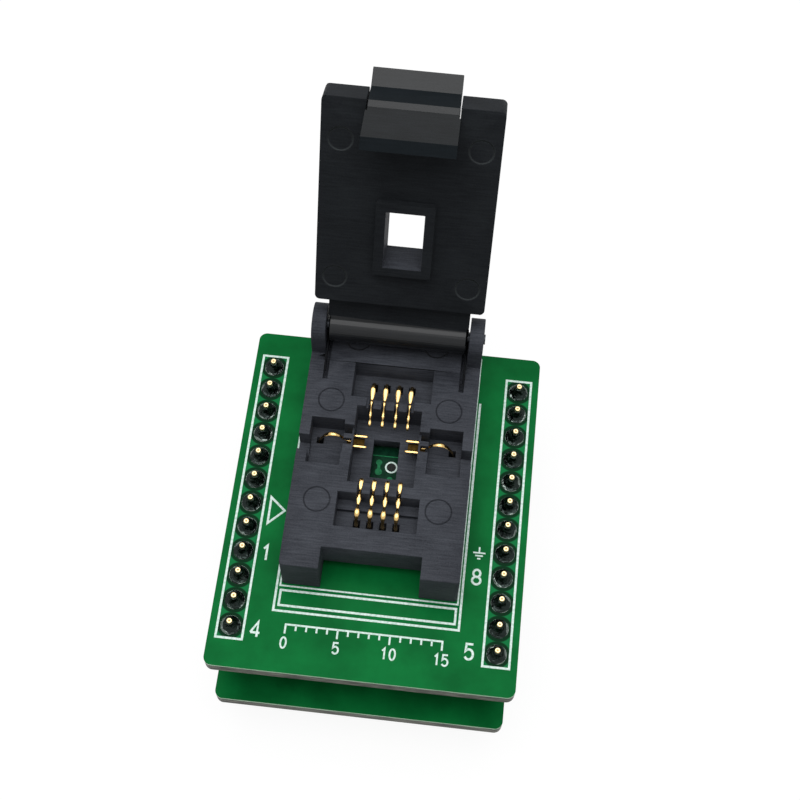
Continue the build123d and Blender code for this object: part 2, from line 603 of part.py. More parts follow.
def main():
    os.makedirs("parts", exist_ok=True)
    save("lower_board", lower_board())
    save("upper_board", upper_board())
    for name, side in (("left", -1), ("right", 1)):
        legs, plugs = row_spots(side * LEG_ROW_X), row_spots(side * PLUG_ROW_X)
        leg_x, plug_x = side * LEG_ROW_X, side * PLUG_ROW_X
        sleeve_top = LOWER_TOP + SLEEVE_STRIP_HEIGHT
        save(f"{name}_leg_strip", strip(leg_x, (LEG_LENGTH, LOWER_BOTTOM), PIN_R))
        save(f"{name}_leg_pins", spread(leg_pin(), legs))
        save(f"{name}_leg_solder", spread(solder_bead(LOWER_TOP), legs))
        save(f"{name}_sleeve_strip", strip(plug_x, (LOWER_TOP, sleeve_top), SLEEVE_R))
        save(f"{name}_sleeves", spread(sleeve(), plugs))
        save(f"{name}_sleeve_solder", spread(solder_bead(LOWER_BOTTOM, down=True), plugs))
        save(f"{name}_plug_strip", strip(plug_x, (sleeve_top, UPPER_BOTTOM), PIN_R))
        save(f"{name}_plug_pins", spread(plug_pin(), plugs))
        save(f"{name}_plug_solder", spread(solder_cone(), plugs))
    save("socket_base", socket_base(), BOARD)
    save("contact_retainer", contact_retainer(), BOARD)
    number = 1
    for rear, xs in ((False, CONTACT_XS), (True, CONTACT_XS[::-1])):
        for x in xs:
            save(f"contact_{number}", place_row_contact(x, rear), BOARD)
            number += 1
    save("left_ground_contact", place_ground_contact(False), BOARD)
    save("right_ground_contact", place_ground_contact(True), BOARD)
    save("contact_solder", spread(solder_bead(UPPER_BOTTOM, down=True), tail_spots()))
    save("hinge_pin", hinge_pin(), BOARD)
    save("right_lid_spring", lid_spring(), BOARD)
    save("left_lid_spring", mirror(lid_spring(), Plane.YZ), BOARD)
    save("lid", swung(lid()), BOARD)
    save("latch", swung(latch()), BOARD)
    save("latch_pin", latch_pin(), BOARD)
    save("latch_springs", latch_springs(), BOARD)


main()
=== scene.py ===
# %% [markdown]
# # A programming socket, finished in Blender
# The CAD model gives every rigid piece its true size. This lesson gives those pieces their
# surfaces, and adds what is too fine for the CAD solids: drawn-up solder, dimpled pin tips, leaf
# shaped contacts, round spring wire, softened edges and the white print on the board.

import bpy
import bmesh
import numpy as np
from mathutils import Matrix, Vector


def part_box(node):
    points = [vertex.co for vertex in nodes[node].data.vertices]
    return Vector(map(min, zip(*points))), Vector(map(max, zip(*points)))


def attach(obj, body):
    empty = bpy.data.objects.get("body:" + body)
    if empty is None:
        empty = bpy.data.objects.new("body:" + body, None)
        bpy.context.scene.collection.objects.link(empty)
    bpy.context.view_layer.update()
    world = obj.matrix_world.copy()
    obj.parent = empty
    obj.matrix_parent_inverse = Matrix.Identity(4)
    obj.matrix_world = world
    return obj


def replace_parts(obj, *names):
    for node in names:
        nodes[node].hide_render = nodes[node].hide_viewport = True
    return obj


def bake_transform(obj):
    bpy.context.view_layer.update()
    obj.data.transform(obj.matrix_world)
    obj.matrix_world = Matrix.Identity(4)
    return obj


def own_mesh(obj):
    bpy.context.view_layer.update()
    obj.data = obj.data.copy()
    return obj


MM = 0.001
BASE_HEIGHT = 5.3
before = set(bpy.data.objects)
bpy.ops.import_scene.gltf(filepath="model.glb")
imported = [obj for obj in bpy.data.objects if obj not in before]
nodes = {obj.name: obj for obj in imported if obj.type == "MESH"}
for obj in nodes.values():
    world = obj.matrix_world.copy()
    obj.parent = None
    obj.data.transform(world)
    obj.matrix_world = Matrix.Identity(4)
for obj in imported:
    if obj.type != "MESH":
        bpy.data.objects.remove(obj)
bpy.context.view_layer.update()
BOARD_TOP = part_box("upper_board")[1][2] / MM
BOARD_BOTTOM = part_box("upper_board")[0][2] / MM
BASE_TOP = BOARD_TOP + BASE_HEIGHT

# %% [markdown]
# ## The camera
# A photograph fixes where the lens stood, where it pointed, how it was rolled and how long it
# was. They were fitted to pins whose spacing is known, so the camera is written down as a place
# and three directions rather than aimed by eye.

# %% Camera
LENS_MM, SENSOR_MM = 64.05, 36.0
EYE = np.array([6.229, -53.729, 130.848 + BOARD_TOP]) * MM
RIGHT = np.array([0.99385, 0.10998, 0.01281])
DOWN = np.array([0.10402, -0.88773, -0.44846])
AHEAD = np.array([-0.03795, 0.44703, -0.89371])

camera_data = bpy.data.cameras.new("camera")
camera_data.lens = LENS_MM
camera_data.sensor_width = SENSOR_MM
camera_data.sensor_fit = "HORIZONTAL"
camera_data.clip_start = 0.005
camera = bpy.data.objects.new("camera", camera_data)
bpy.context.scene.collection.objects.link(camera)
turn = Matrix(np.array([RIGHT, -DOWN, -AHEAD]).T.tolist()).to_4x4()
camera.matrix_world = Matrix.Translation(EYE.tolist()) @ turn
bpy.context.scene.camera = camera
print("camera of", LENS_MM, "mm at", [round(x / MM, 1) for x in EYE.tolist()])

# %% [markdown]
# ## The open lid
# The CAD model stands with its lid open. Some sizes are easier to give on the closed lid, so one
# function turns closed places to open ones, about the hinge line, by the angle of the CAD model.

# %% Hinge line
HINGE_HEIGHT, NECK_LENGTH, LID_LENGTH, LID_CLEARANCE = 7.54, 4.09, 21.04, 0.1
HINGE_Y, HINGE_Z = 15.585, BOARD_TOP + HINGE_HEIGHT
OPEN_ANGLE = np.radians(117.9)
LID_REAR, LID_INNER = HINGE_Y - NECK_LENGTH, BASE_TOP + LID_CLEARANCE
LID_FRONT = LID_REAR - LID_LENGTH


def opened(points):
    """Turn (x, y, z) rows in mm by the open angle: y' = y cos + z sin, z' = z cos - y sin."""
    points = np.asarray(points, float)
    y, z = points[..., 1] - HINGE_Y, points[..., 2] - HINGE_Z
    cos, sin = np.cos(OPEN_ANGLE), np.sin(OPEN_ANGLE)
    return np.stack(
        [points[..., 0], HINGE_Y + y * cos + z * sin, HINGE_Z + z * cos - y * sin], axis=-1)


lid_tip = opened([0, LID_FRONT, LID_INNER]).tolist()
print("the open lid's free end in mm", [round(x, 2) for x in lid_tip])

# %% [markdown]
# ## Colours and nodes
# Colours are picked as the hex values that a screen shows. Blender works in linear light, so one
# function converts them. A second one adds a node and wires it in a single call.

# %% Colours and nodes
def linear(hex_code):
    """sRGB hex to linear RGBA: x / 12.92 in the toe, ((x + 0.055) / 1.055) ** 2.4 above it."""
    rgb = np.array([int(hex_code[i:i + 2], 16) for i in (1, 3, 5)]) / 255
    low, high = rgb / 12.92, ((rgb + 0.055) / 1.055) ** 2.4
    return (*np.where(rgb <= 0.04045, low, high).tolist(), 1.0)


def add_node(tree, kind, inputs=(), **settings):
    """Add a node. Each input takes a number, a colour or another node's output."""
    node = tree.nodes.new(kind)
    for key, value in settings.items():
        setattr(node, key, value)
    for key, value in dict(inputs).items():
        if isinstance(value, bpy.types.NodeSocket):
            tree.links.new(value, node.inputs[key])
        else:
            node.inputs[key].default_value = value
    return node


print("mid grey #808080 in linear light", round(linear("#808080")[0], 3))

# %% [markdown]
# Patterns are noise on Object coordinates, in metres, so a feature keeps its real size on every
# piece. A ramp maps a stretch of the noise to two colours.

# %% Helpers for materials
def new_material(name):
    """An empty node material and its tree."""
    material = bpy.data.materials.new(name)
    material.use_nodes = True
    material.node_tree.nodes.clear()
    return material, material.node_tree


def finish_material(tree, shader):
    """Wire a shader to the surface."""
    add_node(tree, "ShaderNodeOutputMaterial", {"Surface": shader.outputs[0]})


def two_colours(tree, factor, low, high, low_hex, high_hex):
    """Ramp between two colours over a stretch of a factor."""
    ramp = add_node(tree, "ShaderNodeValToRGB", {"Fac": factor})
    for stop, place, colour in zip(ramp.color_ramp.elements, (low, high), (low_hex, high_hex)):
        stop.position = place
        stop.color = linear(colour)
    return ramp.outputs["Color"]


def per_mm(size_mm):
    """Noise scale that gives features of about this size, on coordinates in metres."""
    return 1 / (size_mm * MM)


def patchy_material(name, dark, light, patch_mm, rough, level):
    """Two shades in soft patches."""
    material, tree = new_material(name)
    place = add_node(tree, "ShaderNodeTexCoord").outputs["Object"]
    patch = add_node(tree, "ShaderNodeTexNoise", {
        "Vector": place, "Scale": per_mm(patch_mm), "Detail": 2.0})
    finish_material(tree, add_node(tree, "ShaderNodeBsdfPrincipled", {
        "Base Color": two_colours(tree, patch.outputs["Fac"], 0.3, 0.6, dark, light),
        "Roughness": rough, "Specular IOR Level": level}))
    return material


def set_material(node_names, material):
    """Give CAD nodes one material."""
    for name in node_names:
        mesh = nodes[name].data
        mesh.materials.clear()
        mesh.materials.append(material)


print("noise scale for features of 1 mm", per_mm(1.0))

# %% [markdown]
# ## Glass-filled plastic
# The pins that push a moulding out of its mould leave round marks. Each is a step in the height where the
# distance from its centre passes its radius, with a thin painted ring: faint painted shade on the base, a
# painted highlight on the lid. Both sides share one set, because the pattern reads the distance from the
# middle plane.

# %% Ejector marks
MARK_STEP_MM = 0.28
MARK_EDGE_MM = 0.08
RING_MM = 1.6 * MARK_EDGE_MM


def inside_marks(tree, place, marks):
    """Two masks of marks (x, y, z, radius): 0 inside any mark, and 0 on the ring round it."""
    axes = add_node(tree, "ShaderNodeSeparateXYZ", {0: place})
    across = add_node(tree, "ShaderNodeMath", {0: axes.outputs["X"]}, operation="ABSOLUTE")
    folded = add_node(tree, "ShaderNodeCombineXYZ", {
        "X": across.outputs[0], "Y": axes.outputs["Y"], "Z": axes.outputs["Z"]})
    plain, line = 1.0, 1.0
    for x, y, z, radius in marks:
        away = add_node(tree, "ShaderNodeVectorMath", {
            0: folded.outputs[0], 1: (x * MM, y * MM, z * MM)}, operation="DISTANCE")
        step = add_node(tree, "ShaderNodeMapRange", {
            "Value": away.outputs["Value"], "From Min": (radius - MARK_EDGE_MM) * MM,
            "From Max": (radius + MARK_EDGE_MM) * MM})
        plain = add_node(tree, "ShaderNodeMath", {
            0: step.outputs["Result"], 1: plain}, operation="MULTIPLY").outputs[0]
        off = add_node(tree, "ShaderNodeMath", {
            0: away.outputs["Value"], 1: radius * MM}, operation="SUBTRACT")
        off = add_node(tree, "ShaderNodeMath", {0: off.outputs[0]}, operation="ABSOLUTE")
        rim = add_node(tree, "ShaderNodeMapRange", {
            "Value": off.outputs[0], "From Min": 0.0, "From Max": RING_MM * MM})
        line = add_node(tree, "ShaderNodeMath", {
            0: rim.outputs["Result"], 1: line}, operation="MULTIPLY").outputs[0]
    return plain, line


print("a mark's edge is", 2 * MARK_EDGE_MM, "mm wide")

# %% [markdown]
# Test sockets are moulded in a plastic filled with short glass fibre, which stands the heat of
# soldering. Fibres near the skin give it a fine pale grain and faint flow lines across the
# mould, so its near-black reads as a dusty grey. Two noises do it: one of grain size, one
# stretched along X into flow lines. Real fibres are 0.01 mm wide. They are drawn at 0.12 mm,
# because anything finer vanishes at this distance.

# %% Filled plastic
GRAIN_MM, FLOW_MM, CLOUD_MM = 0.12, 0.16, 3.5
FLOW_STRETCH = (0.08, 1.0, 1.0)
FLOW_SHARE, CLOUD_SHARE = 0.5, 0.3
# A faint dark ring paints shade in a mark's step, and a pale ring paints a highlight on its rim.
MARK_RING_OF_PAINTED_SHADE = ("#0b0c0d", 0.05)
MARK_RING_OF_PAINTED_HIGHLIGHT = ("#6a7072", 0.3)


def filled_plastic(
        name, dark, light, rough, grain_depth_mm, level, marks=(), ring=MARK_RING_OF_PAINTED_SHADE):
    """Moulded plastic: colour between dark and light, fibre grain as bump, marks with rings.

    A ring is (colour, share): a dark one is painted shade on a mark's edge, a pale one a painted highlight,
    and share is how much of that colour its middle takes.
    """
    material, tree = new_material(name)
    place = add_node(tree, "ShaderNodeTexCoord").outputs["Object"]
    stretched = add_node(
        tree, "ShaderNodeMapping", {"Vector": place, "Scale": FLOW_STRETCH})
    grain = add_node(tree, "ShaderNodeTexNoise", {
        "Vector": place, "Scale": per_mm(GRAIN_MM), "Detail": 3.0, "Roughness": 0.6})
    lines = add_node(tree, "ShaderNodeTexNoise", {
        "Vector": stretched.outputs[0], "Scale": per_mm(FLOW_MM), "Detail": 2.0})
    clouds = add_node(tree, "ShaderNodeTexNoise", {
        "Vector": place, "Scale": per_mm(CLOUD_MM), "Detail": 2.0})
    both = add_node(tree, "ShaderNodeMix", {
        "Factor": FLOW_SHARE, "A": grain.outputs["Fac"], "B": lines.outputs["Fac"]})
    mixed = add_node(tree, "ShaderNodeMix", {
        "Factor": CLOUD_SHARE, "A": both.outputs["Result"], "B": clouds.outputs["Fac"]})
    colour = two_colours(tree, mixed.outputs["Result"], 0.36, 0.64, dark, light)
    normal = add_node(tree, "ShaderNodeBump", {
        "Height": both.outputs["Result"], "Strength": 0.5, "Distance": grain_depth_mm * MM})
    if marks:
        plain, line = inside_marks(tree, place, marks)
        normal = add_node(tree, "ShaderNodeBump", {
            "Height": plain, "Strength": 1.0, "Distance": MARK_STEP_MM * MM,
            "Normal": normal.outputs["Normal"]})
        shade = add_node(tree, "ShaderNodeMapRange", {"Value": line, "To Min": 1 - ring[1]})
        colour = add_node(tree, "ShaderNodeMix", {
            "Factor": shade.outputs["Result"], "A": linear(ring[0]), "B": colour},
            data_type="RGBA").outputs["Result"]
    finish_material(tree, add_node(tree, "ShaderNodeBsdfPrincipled", {
        "Base Color": colour, "Roughness": rough, "IOR": 1.5, "Specular IOR Level": level,
        "Normal": normal.outputs["Normal"]}))
    return material


print("grain of", GRAIN_MM, "mm and flow lines of", FLOW_MM, "mm")

# %% [markdown]
# The base is dusty. The lid is the same plastic painted darker, as painted shade, since it faces away from
# the lamp. Where the latch is pressed and the barrel turns they are rubbed smooth and mirror more, and their
# blacker colour is painted shade too.

# %% The socket's plastics
BASE_MARK_R, LID_MARK_R, LID_MARK_X = 1.25, 1.13, 6.37
BASE_MARKS = [
    (x, y, BASE_TOP, BASE_MARK_R) for x, y in ((5.83, -2.33), (5.83, 8.36), (3.95, 15.5))]
LID_MARKS = [
    (*opened([LID_MARK_X, LID_REAR - along, LID_INNER]).tolist(), LID_MARK_R)
    for along in (2.73, 17.03)]
base_plastic = filled_plastic(
    "glass_filled_base_plastic", "#2a2c32", "#484b52", 0.6, 0.03, 0.08, marks=BASE_MARKS)
# The lid's darker colour is painted shade.
lid_plastic_painted_dark = filled_plastic(
    "lid_plastic_darkened_as_painted_shade", "#191b1e", "#26292c", 0.6, 0.02, 0.05, marks=LID_MARKS,
    ring=MARK_RING_OF_PAINTED_HIGHLIGHT)
# The latch's blacker colour is painted shade. Its matt copy paints shade in the hollow under its tab and at
# its hook's end.
latch_plastic_painted_dark = filled_plastic("glossy_latch_plastic_darkened_as_painted_shade", "#0e1113", "#1b1e21", 0.2, 0.003, 0.2)
matt_latch_plastic_as_painted_shade = filled_plastic("matt_latch_plastic_painted_as_shade", "#0e1316", "#161b1f", 0.6, 0.006, 0.05)
# The barrel's glossier plastic is also blacker, as painted shade.
barrel_plastic_painted_dark = filled_plastic("glossy_barrel_plastic_darkened_as_painted_shade", "#101214", "#1a1c1f", 0.35, 0.006, 0.3)
strip_plastic = filled_plastic("moulded_strip_plastic", "#0e0f10", "#1b1c1e", 0.4, 0.01, 0.15)
set_material(["contact_retainer"], base_plastic)
strips = [n for n in nodes if n.endswith("_strip")]
set_material(strips, strip_plastic)
print("plastic strips:", strips)

# %% [markdown]
# ## Solder mask over glass laminate
# A circuit board is a sheet of woven glass and resin, screened with green lacquer. Round each
# pad of the pin rows the copper stops short, so there the green is darker. One remainder by the
# pitch repeats the ring for every pin, and folding X serves both rows.

# %% Copper round the pins
PITCH = 2.54
PINS_IN_ROW = 12
ROW_X = 5 * PITCH
ROW_HALF = PINS_IN_ROW / 2 * PITCH
FRAME_HALF = PITCH / 2


def pad_clearance(tree, place):
    """Distance to the nearest pin of a row, and 1 inside the frame that is printed round it."""
    axes = add_node(tree, "ShaderNodeSeparateXYZ", {0: place})
    across = add_node(tree, "ShaderNodeMath", {0: axes.outputs["X"]}, operation="ABSOLUTE")
    across = add_node(tree, "ShaderNodeMath", {
        0: across.outputs[0], 1: ROW_X * MM}, operation="SUBTRACT")
    along = add_node(tree, "ShaderNodeMath", {
        0: axes.outputs["Y"], 1: PITCH * MM}, operation="FLOORED_MODULO")
    along = add_node(tree, "ShaderNodeMath", {
        0: along.outputs[0], 1: PITCH / 2 * MM}, operation="SUBTRACT")
    spot = add_node(tree, "ShaderNodeCombineXYZ", {"X": across.outputs[0], "Y": along.outputs[0]})
    away = add_node(tree, "ShaderNodeVectorMath", {0: spot.outputs[0]}, operation="LENGTH")
    beside = add_node(tree, "ShaderNodeMath", {0: across.outputs[0]}, operation="ABSOLUTE")
    in_width = add_node(tree, "ShaderNodeMath", {
        0: beside.outputs[0], 1: FRAME_HALF * MM}, operation="LESS_THAN")
    ahead = add_node(tree, "ShaderNodeMath", {0: axes.outputs["Y"]}, operation="ABSOLUTE")
    in_length = add_node(tree, "ShaderNodeMath", {
        0: ahead.outputs[0], 1: ROW_HALF * MM}, operation="LESS_THAN")
    framed = add_node(tree, "ShaderNodeMath", {
        0: in_width.outputs[0], 1: in_length.outputs[0]}, operation="MULTIPLY")
    return away.outputs["Value"], framed.outputs[0]


print("pin rows", 2 * ROW_X, "mm apart,", PINS_IN_ROW, "pins each")

# %% [markdown]
# The lacquer is slightly cloudy, where it ran thick or thin over the copper. The sawn edge has none: it
# shows the brown-grey laminate in layers, with a pale line along its top that is a painted highlight, where
# the edge catches the light. The direction a face looks in, in the board's own coordinates, tells top from
# edge, so one recipe serves a whole board.

# %% Board
LACQUER_CLOUD_MM, LAYER_MM, WEAVE_MM, WEAVE_DEPTH_MM = 5.0, 0.2, 0.5, 0.01
LAYER_STRETCH = (0.12, 0.12, 1.0)
PAD_CLEAR_R, PAD_CLEAR_SOFT = 1.3, 0.05
EDGE_HIGHLIGHT_MM, EDGE_HIGHLIGHT_RAGGED_MM = 0.14, 0.2


def mask_on_laminate(name, deep, bright, top):
    """Green lacquer where a face looks up or down, layered laminate where it looks sideways."""
    material, tree = new_material(name)
    source = add_node(tree, "ShaderNodeTexCoord")
    place = source.outputs["Object"]
    up = add_node(tree, "ShaderNodeSeparateXYZ", {"Vector": source.outputs["Normal"]})
    flat = add_node(tree, "ShaderNodeMath", {0: up.outputs["Z"]}, operation="ABSOLUTE")
    clouds = add_node(tree, "ShaderNodeTexNoise", {
        "Vector": place, "Scale": per_mm(LACQUER_CLOUD_MM), "Detail": 4.0, "Roughness": 0.55})
    green = two_colours(tree, clouds.outputs["Fac"], 0.35, 0.66, deep, bright)
    away, framed = pad_clearance(tree, place)
    near = add_node(tree, "ShaderNodeMapRange", {
        "Value": away, "From Min": (PAD_CLEAR_R - PAD_CLEAR_SOFT) * MM,
        "From Max": (PAD_CLEAR_R + PAD_CLEAR_SOFT) * MM})
    copper = add_node(tree, "ShaderNodeMix", {
        "Factor": near.outputs["Result"], "A": linear("#08301a"), "B": linear("#14743f")},
        data_type="RGBA")
    green = add_node(tree, "ShaderNodeMix", {
        "Factor": framed, "A": green, "B": copper.outputs["Result"]}, data_type="RGBA")
    drawn_out = add_node(tree, "ShaderNodeMapping", {"Vector": place, "Scale": LAYER_STRETCH})
    layers = add_node(tree, "ShaderNodeTexNoise", {
        "Vector": drawn_out.outputs[0], "Scale": per_mm(LAYER_MM), "Detail": 3.0})
    sawn = two_colours(tree, layers.outputs["Fac"], 0.38, 0.66, "#3a3e38", "#85877a")
    height = add_node(tree, "ShaderNodeSeparateXYZ", {0: place})
    # A pale line along the top of the sawn edge, ragged by the layers, is a painted highlight.
    ragged = add_node(tree, "ShaderNodeMath", {
        0: layers.outputs["Fac"], 1: EDGE_HIGHLIGHT_RAGGED_MM * MM, 2: height.outputs["Z"]},
        operation="MULTIPLY_ADD")
    rim = add_node(tree, "ShaderNodeMath", {
        0: ragged.outputs[0], 1: (top - EDGE_HIGHLIGHT_MM) * MM}, operation="GREATER_THAN")
    edge = add_node(tree, "ShaderNodeMix", {
        "Factor": rim.outputs[0], "A": sawn, "B": linear("#c8f0cf")},
        data_type="RGBA").outputs["Result"]
    colour = add_node(tree, "ShaderNodeMix", {
        "Factor": flat.outputs[0], "A": edge, "B": green.outputs["Result"]}, data_type="RGBA")
    weave = add_node(tree, "ShaderNodeTexNoise", {
        "Vector": place, "Scale": per_mm(WEAVE_MM), "Detail": 1.0})
    bump = add_node(tree, "ShaderNodeBump", {
        "Height": weave.outputs["Fac"], "Strength": 0.25, "Distance": WEAVE_DEPTH_MM * MM})
    finish_material(tree, add_node(tree, "ShaderNodeBsdfPrincipled", {
        "Base Color": colour.outputs["Result"], "Roughness": 0.3, "IOR": 1.5,
        "Specular IOR Level": 0.02, "Normal": bump.outputs["Normal"]}))
    return material


LOWER_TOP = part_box("lower_board")[1][2] / MM
for board, top in (("upper_board", BOARD_TOP), ("lower_board", LOWER_TOP)):
    set_material(
        [board], mask_on_laminate("solder_mask_on_" + board, "#08602d", "#0d7438", top))
    print(board, "top at", round(top, 2), "mm")

# %% [markdown]
# ## Metals
# Gold-plated strip, turned pins and tin solder are told apart by colour and by how much they blur a
# reflection. A faint noise in the roughness keeps them from looking like plastic. Solder under a film of
# flux is puckered, so its noise is a bump as well. Its dark colour is partly that film and partly painted
# reflection.

# %% Metal
HIGHLIGHT_FOOT_PATCH_MM, HIGHLIGHT_FOOT_RAGGED_MM = 1.1, 0.4


def plated_metal(name, colour, rough, blotch_mm, pucker_mm=0.0, foot=None):
    """Metal whose roughness wanders a little from place to place, puckered where asked.

    A foot is (height in mm, colour): below that height the metal shows the second colour.
    """
    material, tree = new_material(name)
    place = add_node(tree, "ShaderNodeTexCoord").outputs["Object"]
    noise = add_node(tree, "ShaderNodeTexNoise", {
        "Vector": place, "Scale": per_mm(blotch_mm), "Detail": 2.0})
    spread = add_node(tree, "ShaderNodeMapRange", {
        "Value": noise.outputs["Fac"], "From Min": 0.3, "From Max": 0.7, "To Min": rough * 0.7,
        "To Max": rough * 1.4})
    shader = add_node(tree, "ShaderNodeBsdfPrincipled", {
        "Base Color": linear(colour), "Metallic": 1.0, "Roughness": spread.outputs["Result"]})
    # A foot is used on the solder, where its second colour is a painted highlight near the board.
    if foot:
        height = add_node(tree, "ShaderNodeSeparateXYZ", {0: place})
        patchy = add_node(tree, "ShaderNodeTexNoise", {
            "Vector": place, "Scale": per_mm(HIGHLIGHT_FOOT_PATCH_MM), "Detail": 1.0})
        ragged = add_node(tree, "ShaderNodeMath", {
            0: patchy.outputs["Fac"], 1: HIGHLIGHT_FOOT_RAGGED_MM * MM, 2: height.outputs["Z"]},
            operation="MULTIPLY_ADD")
        low = add_node(tree, "ShaderNodeMath", {
            0: ragged.outputs[0], 1: foot[0] * MM}, operation="LESS_THAN")
        blend = add_node(tree, "ShaderNodeMix", {
            "Factor": low.outputs[0], "A": linear(colour), "B": linear(foot[1])},
            data_type="RGBA")
        tree.links.new(blend.outputs["Result"], shader.inputs["Base Color"])
    if pucker_mm:
        bump = add_node(tree, "ShaderNodeBump", {
            "Height": noise.outputs["Fac"], "Strength": 1.0, "Distance": pucker_mm * MM})
        tree.links.new(bump.outputs["Normal"], shader.inputs["Normal"])
    finish_material(tree, shader)
    return material


print("patches in flux", HIGHLIGHT_FOOT_PATCH_MM, "mm")

# %% [markdown]
# The solder cones are dark, partly under their flux and partly as a painted reflection of the dark board and
# socket round them. Grey near the board is a painted highlight along their foot. The turned pins are paler
# than the stamped strip.

# %% The socket's metals
HIGHLIGHT_FOOT_FROM = 0.27
gold = plated_metal("gold_plated_spring_strip", "#d2b072", 0.2, 0.3)
brass_tip = plated_metal("gold_plated_turned_pin", "#d2bd92", 0.3, 0.2)
solder_painted_dark = plated_metal(
    "tin_solder_with_painted_reflection_and_highlight", "#262d2b", 0.2, 0.5, 0.25, foot=(BOARD_TOP + HIGHLIGHT_FOOT_FROM, "#66706b"))
tinned = plated_metal("bright_tin_solder", "#9a9d9c", 0.25, 0.3, 0.03)
# The spring wire is painted near-black, as painted shade in the slots and pockets where it lies.
spring_steel_painted_dark = plated_metal("spring_steel_darkened_as_painted_shade", "#131416", 0.45, 0.2)
# The fork's web is gold painted dark brown, as painted shade between its prongs.
web_gold_painted_dark = plated_metal("gold_darkened_as_painted_shade", "#33260f", 0.5, 0.3)
# The steel pins are painted dark, as painted shade in the hinge gap.
pin_steel_painted_dark = plated_metal("ground_steel_pin_darkened_as_painted_shade", "#3f4246", 0.45, 0.2)
turned = [n for n in nodes if n.endswith(("_pins", "_sleeves"))]
set_material(turned, brass_tip)
set_material(["hinge_pin", "latch_pin"], pin_steel_painted_dark)
print("turned parts:", turned)

# %% [markdown]
# ## Surfaces from arrays
# Each new piece is a surface: a table of points in which neighbours become faces. numpy works
# out the whole table at once, and a table may wrap round or be capped at its ends.

# %% Helpers for surfaces
def grid_faces(rows, columns, close_rows=False, close_columns=False):
    """Quads between neighbours of a rows by columns table, wrapping round where asked."""
    index = np.arange(rows * columns).reshape(rows, columns)
    if close_rows:
        index = np.vstack([index, index[:1]])
    if close_columns:
        index = np.hstack([index, index[:, :1]])
    quads = np.stack([index[:-1, :-1], index[1:, :-1], index[1:, 1:], index[:-1, 1:]], axis=-1)
    return quads.reshape(-1, 4).tolist()


def surface(points, close_rows=False, close_columns=False, caps=False):
    """(points, faces) of a table of points; caps close the first and last rows."""
    rows, columns = points.shape[:2]
    faces = grid_faces(rows, columns, close_rows, close_columns)
    if caps:
        last = (rows - 1) * columns
        faces += [list(range(columns)), list(range(last + columns - 1, last - 1, -1))]
    return points.reshape(-1, 3), faces


def moved(shape, x=0.0, y=0.0, z=0.0):
    """A shape shifted, in mm."""
    return shape[0] + np.array([x, y, z]), shape[1]


def mirrored(shape):
    """A shape reflected in the middle plane, with its faces turned back to look outwards."""
    return shape[0] * np.array([-1.0, 1.0, 1.0]), [face[::-1] for face in shape[1]]


print("a table of 3 by 4 points has", len(grid_faces(3, 4)), "faces")

# %% [markdown]
# One mesh may hold many such shapes, as the twelve pins of a row. Its seams and poles are welded
# and its faces turned outwards before the body that it rides on is named.

# %% Helpers for pieces
WELD_M = 1e-7
SHARP_ANGLE = 35


def add_piece(name, mesh, body, sharp_angle=SHARP_ANGLE):
    """Put a mesh in the scene, smooth-shaded. It rides on a body, where one is given."""
    mesh.shade_smooth()
    mesh.set_sharp_from_angle(angle=np.radians(sharp_angle))
    piece = bpy.data.objects.new(name, mesh)
    bpy.context.scene.collection.objects.link(piece)
    if body:
        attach(piece, body)
    print(name, "faces", len(mesh.polygons))
    return piece


def weld(mesh, outward=False):
    """Join points that coincide, and turn all faces outwards where asked."""
    edit = bmesh.new()
    edit.from_mesh(mesh)
    bmesh.ops.remove_doubles(edit, verts=edit.verts, dist=WELD_M)
    if outward:
        bmesh.ops.recalc_face_normals(edit, faces=edit.faces)
    edit.to_mesh(mesh)
    edit.free()


def make_piece(name, shapes, material, body):
    """One mesh object in metres from shapes in mm, welded and facing outwards."""
    points, faces, base = [], [], 0
    for shape_points, shape_faces in shapes:
        points.append(shape_points)
        faces += [[base + i for i in face] for face in shape_faces]
        base += len(shape_points)
    mesh = bpy.data.meshes.new(name)
    mesh.from_pydata((np.vstack(points) * MM).tolist(), [], faces)
    weld(mesh, outward=True)
    mesh.materials.append(material)
    return add_piece(name, mesh, body)


# %% [markdown]
# ## Softened mouldings
# No moulding has knife edges, and a rounded edge catches a line of light. The CAD solids arrive
# as loose triangles, so a copy is welded first. Then a Bevel modifier rounds every edge that
# turns by more than a given angle: 35 degrees keeps the barrel's facets smooth, and 12 finds the
# latch's shallow creases too.

# %% Base, lid and latch
BEVEL_SEGMENTS = 2
SHADING_MARGIN = 3


def softened(node, name, width_mm, material, body, crease=35):
    """Welded copy of a CAD node with rounded edges, which stands for the node."""
    mesh = nodes[node].data.copy()
    mesh.name = name
    weld(mesh)
    mesh.materials.clear()
    mesh.materials.append(material)
    piece = add_piece(name, mesh, body, crease - SHADING_MARGIN)
    bevel = piece.modifiers.new("softened_edges", "BEVEL")
    bevel.width = width_mm * MM
    bevel.segments = BEVEL_SEGMENTS
    bevel.limit_method = "ANGLE"
    bevel.angle_limit = np.radians(crease)
    bevel.use_clamp_overlap = False
    bevel.harden_normals = True
    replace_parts(piece, node)
    return piece


softened(
    "socket_base", "softened_base", 0.05, base_plastic, "socket_board")
lid = softened("lid", "softened_lid", 0.06, lid_plastic_painted_dark, "lid")
latch = softened(
    "latch", "softened_latch", 0.05, latch_plastic_painted_dark, "latch", crease=12)

# %% [markdown]
# The barrel turns between the ears and is rubbed smoother than the plate, so the faces near the hinge line
# take a glossier plastic, painted blacker as shade. The walls of the port take the paler base plastic, as
# painted light where they face the lamp. Fingers polish the latch, but the hollow under its tab and the end
# of its hook take a matt copy, as painted shade. The middles of all faces are read at once, as distances
# along the lid and out of it, and tell which are which.

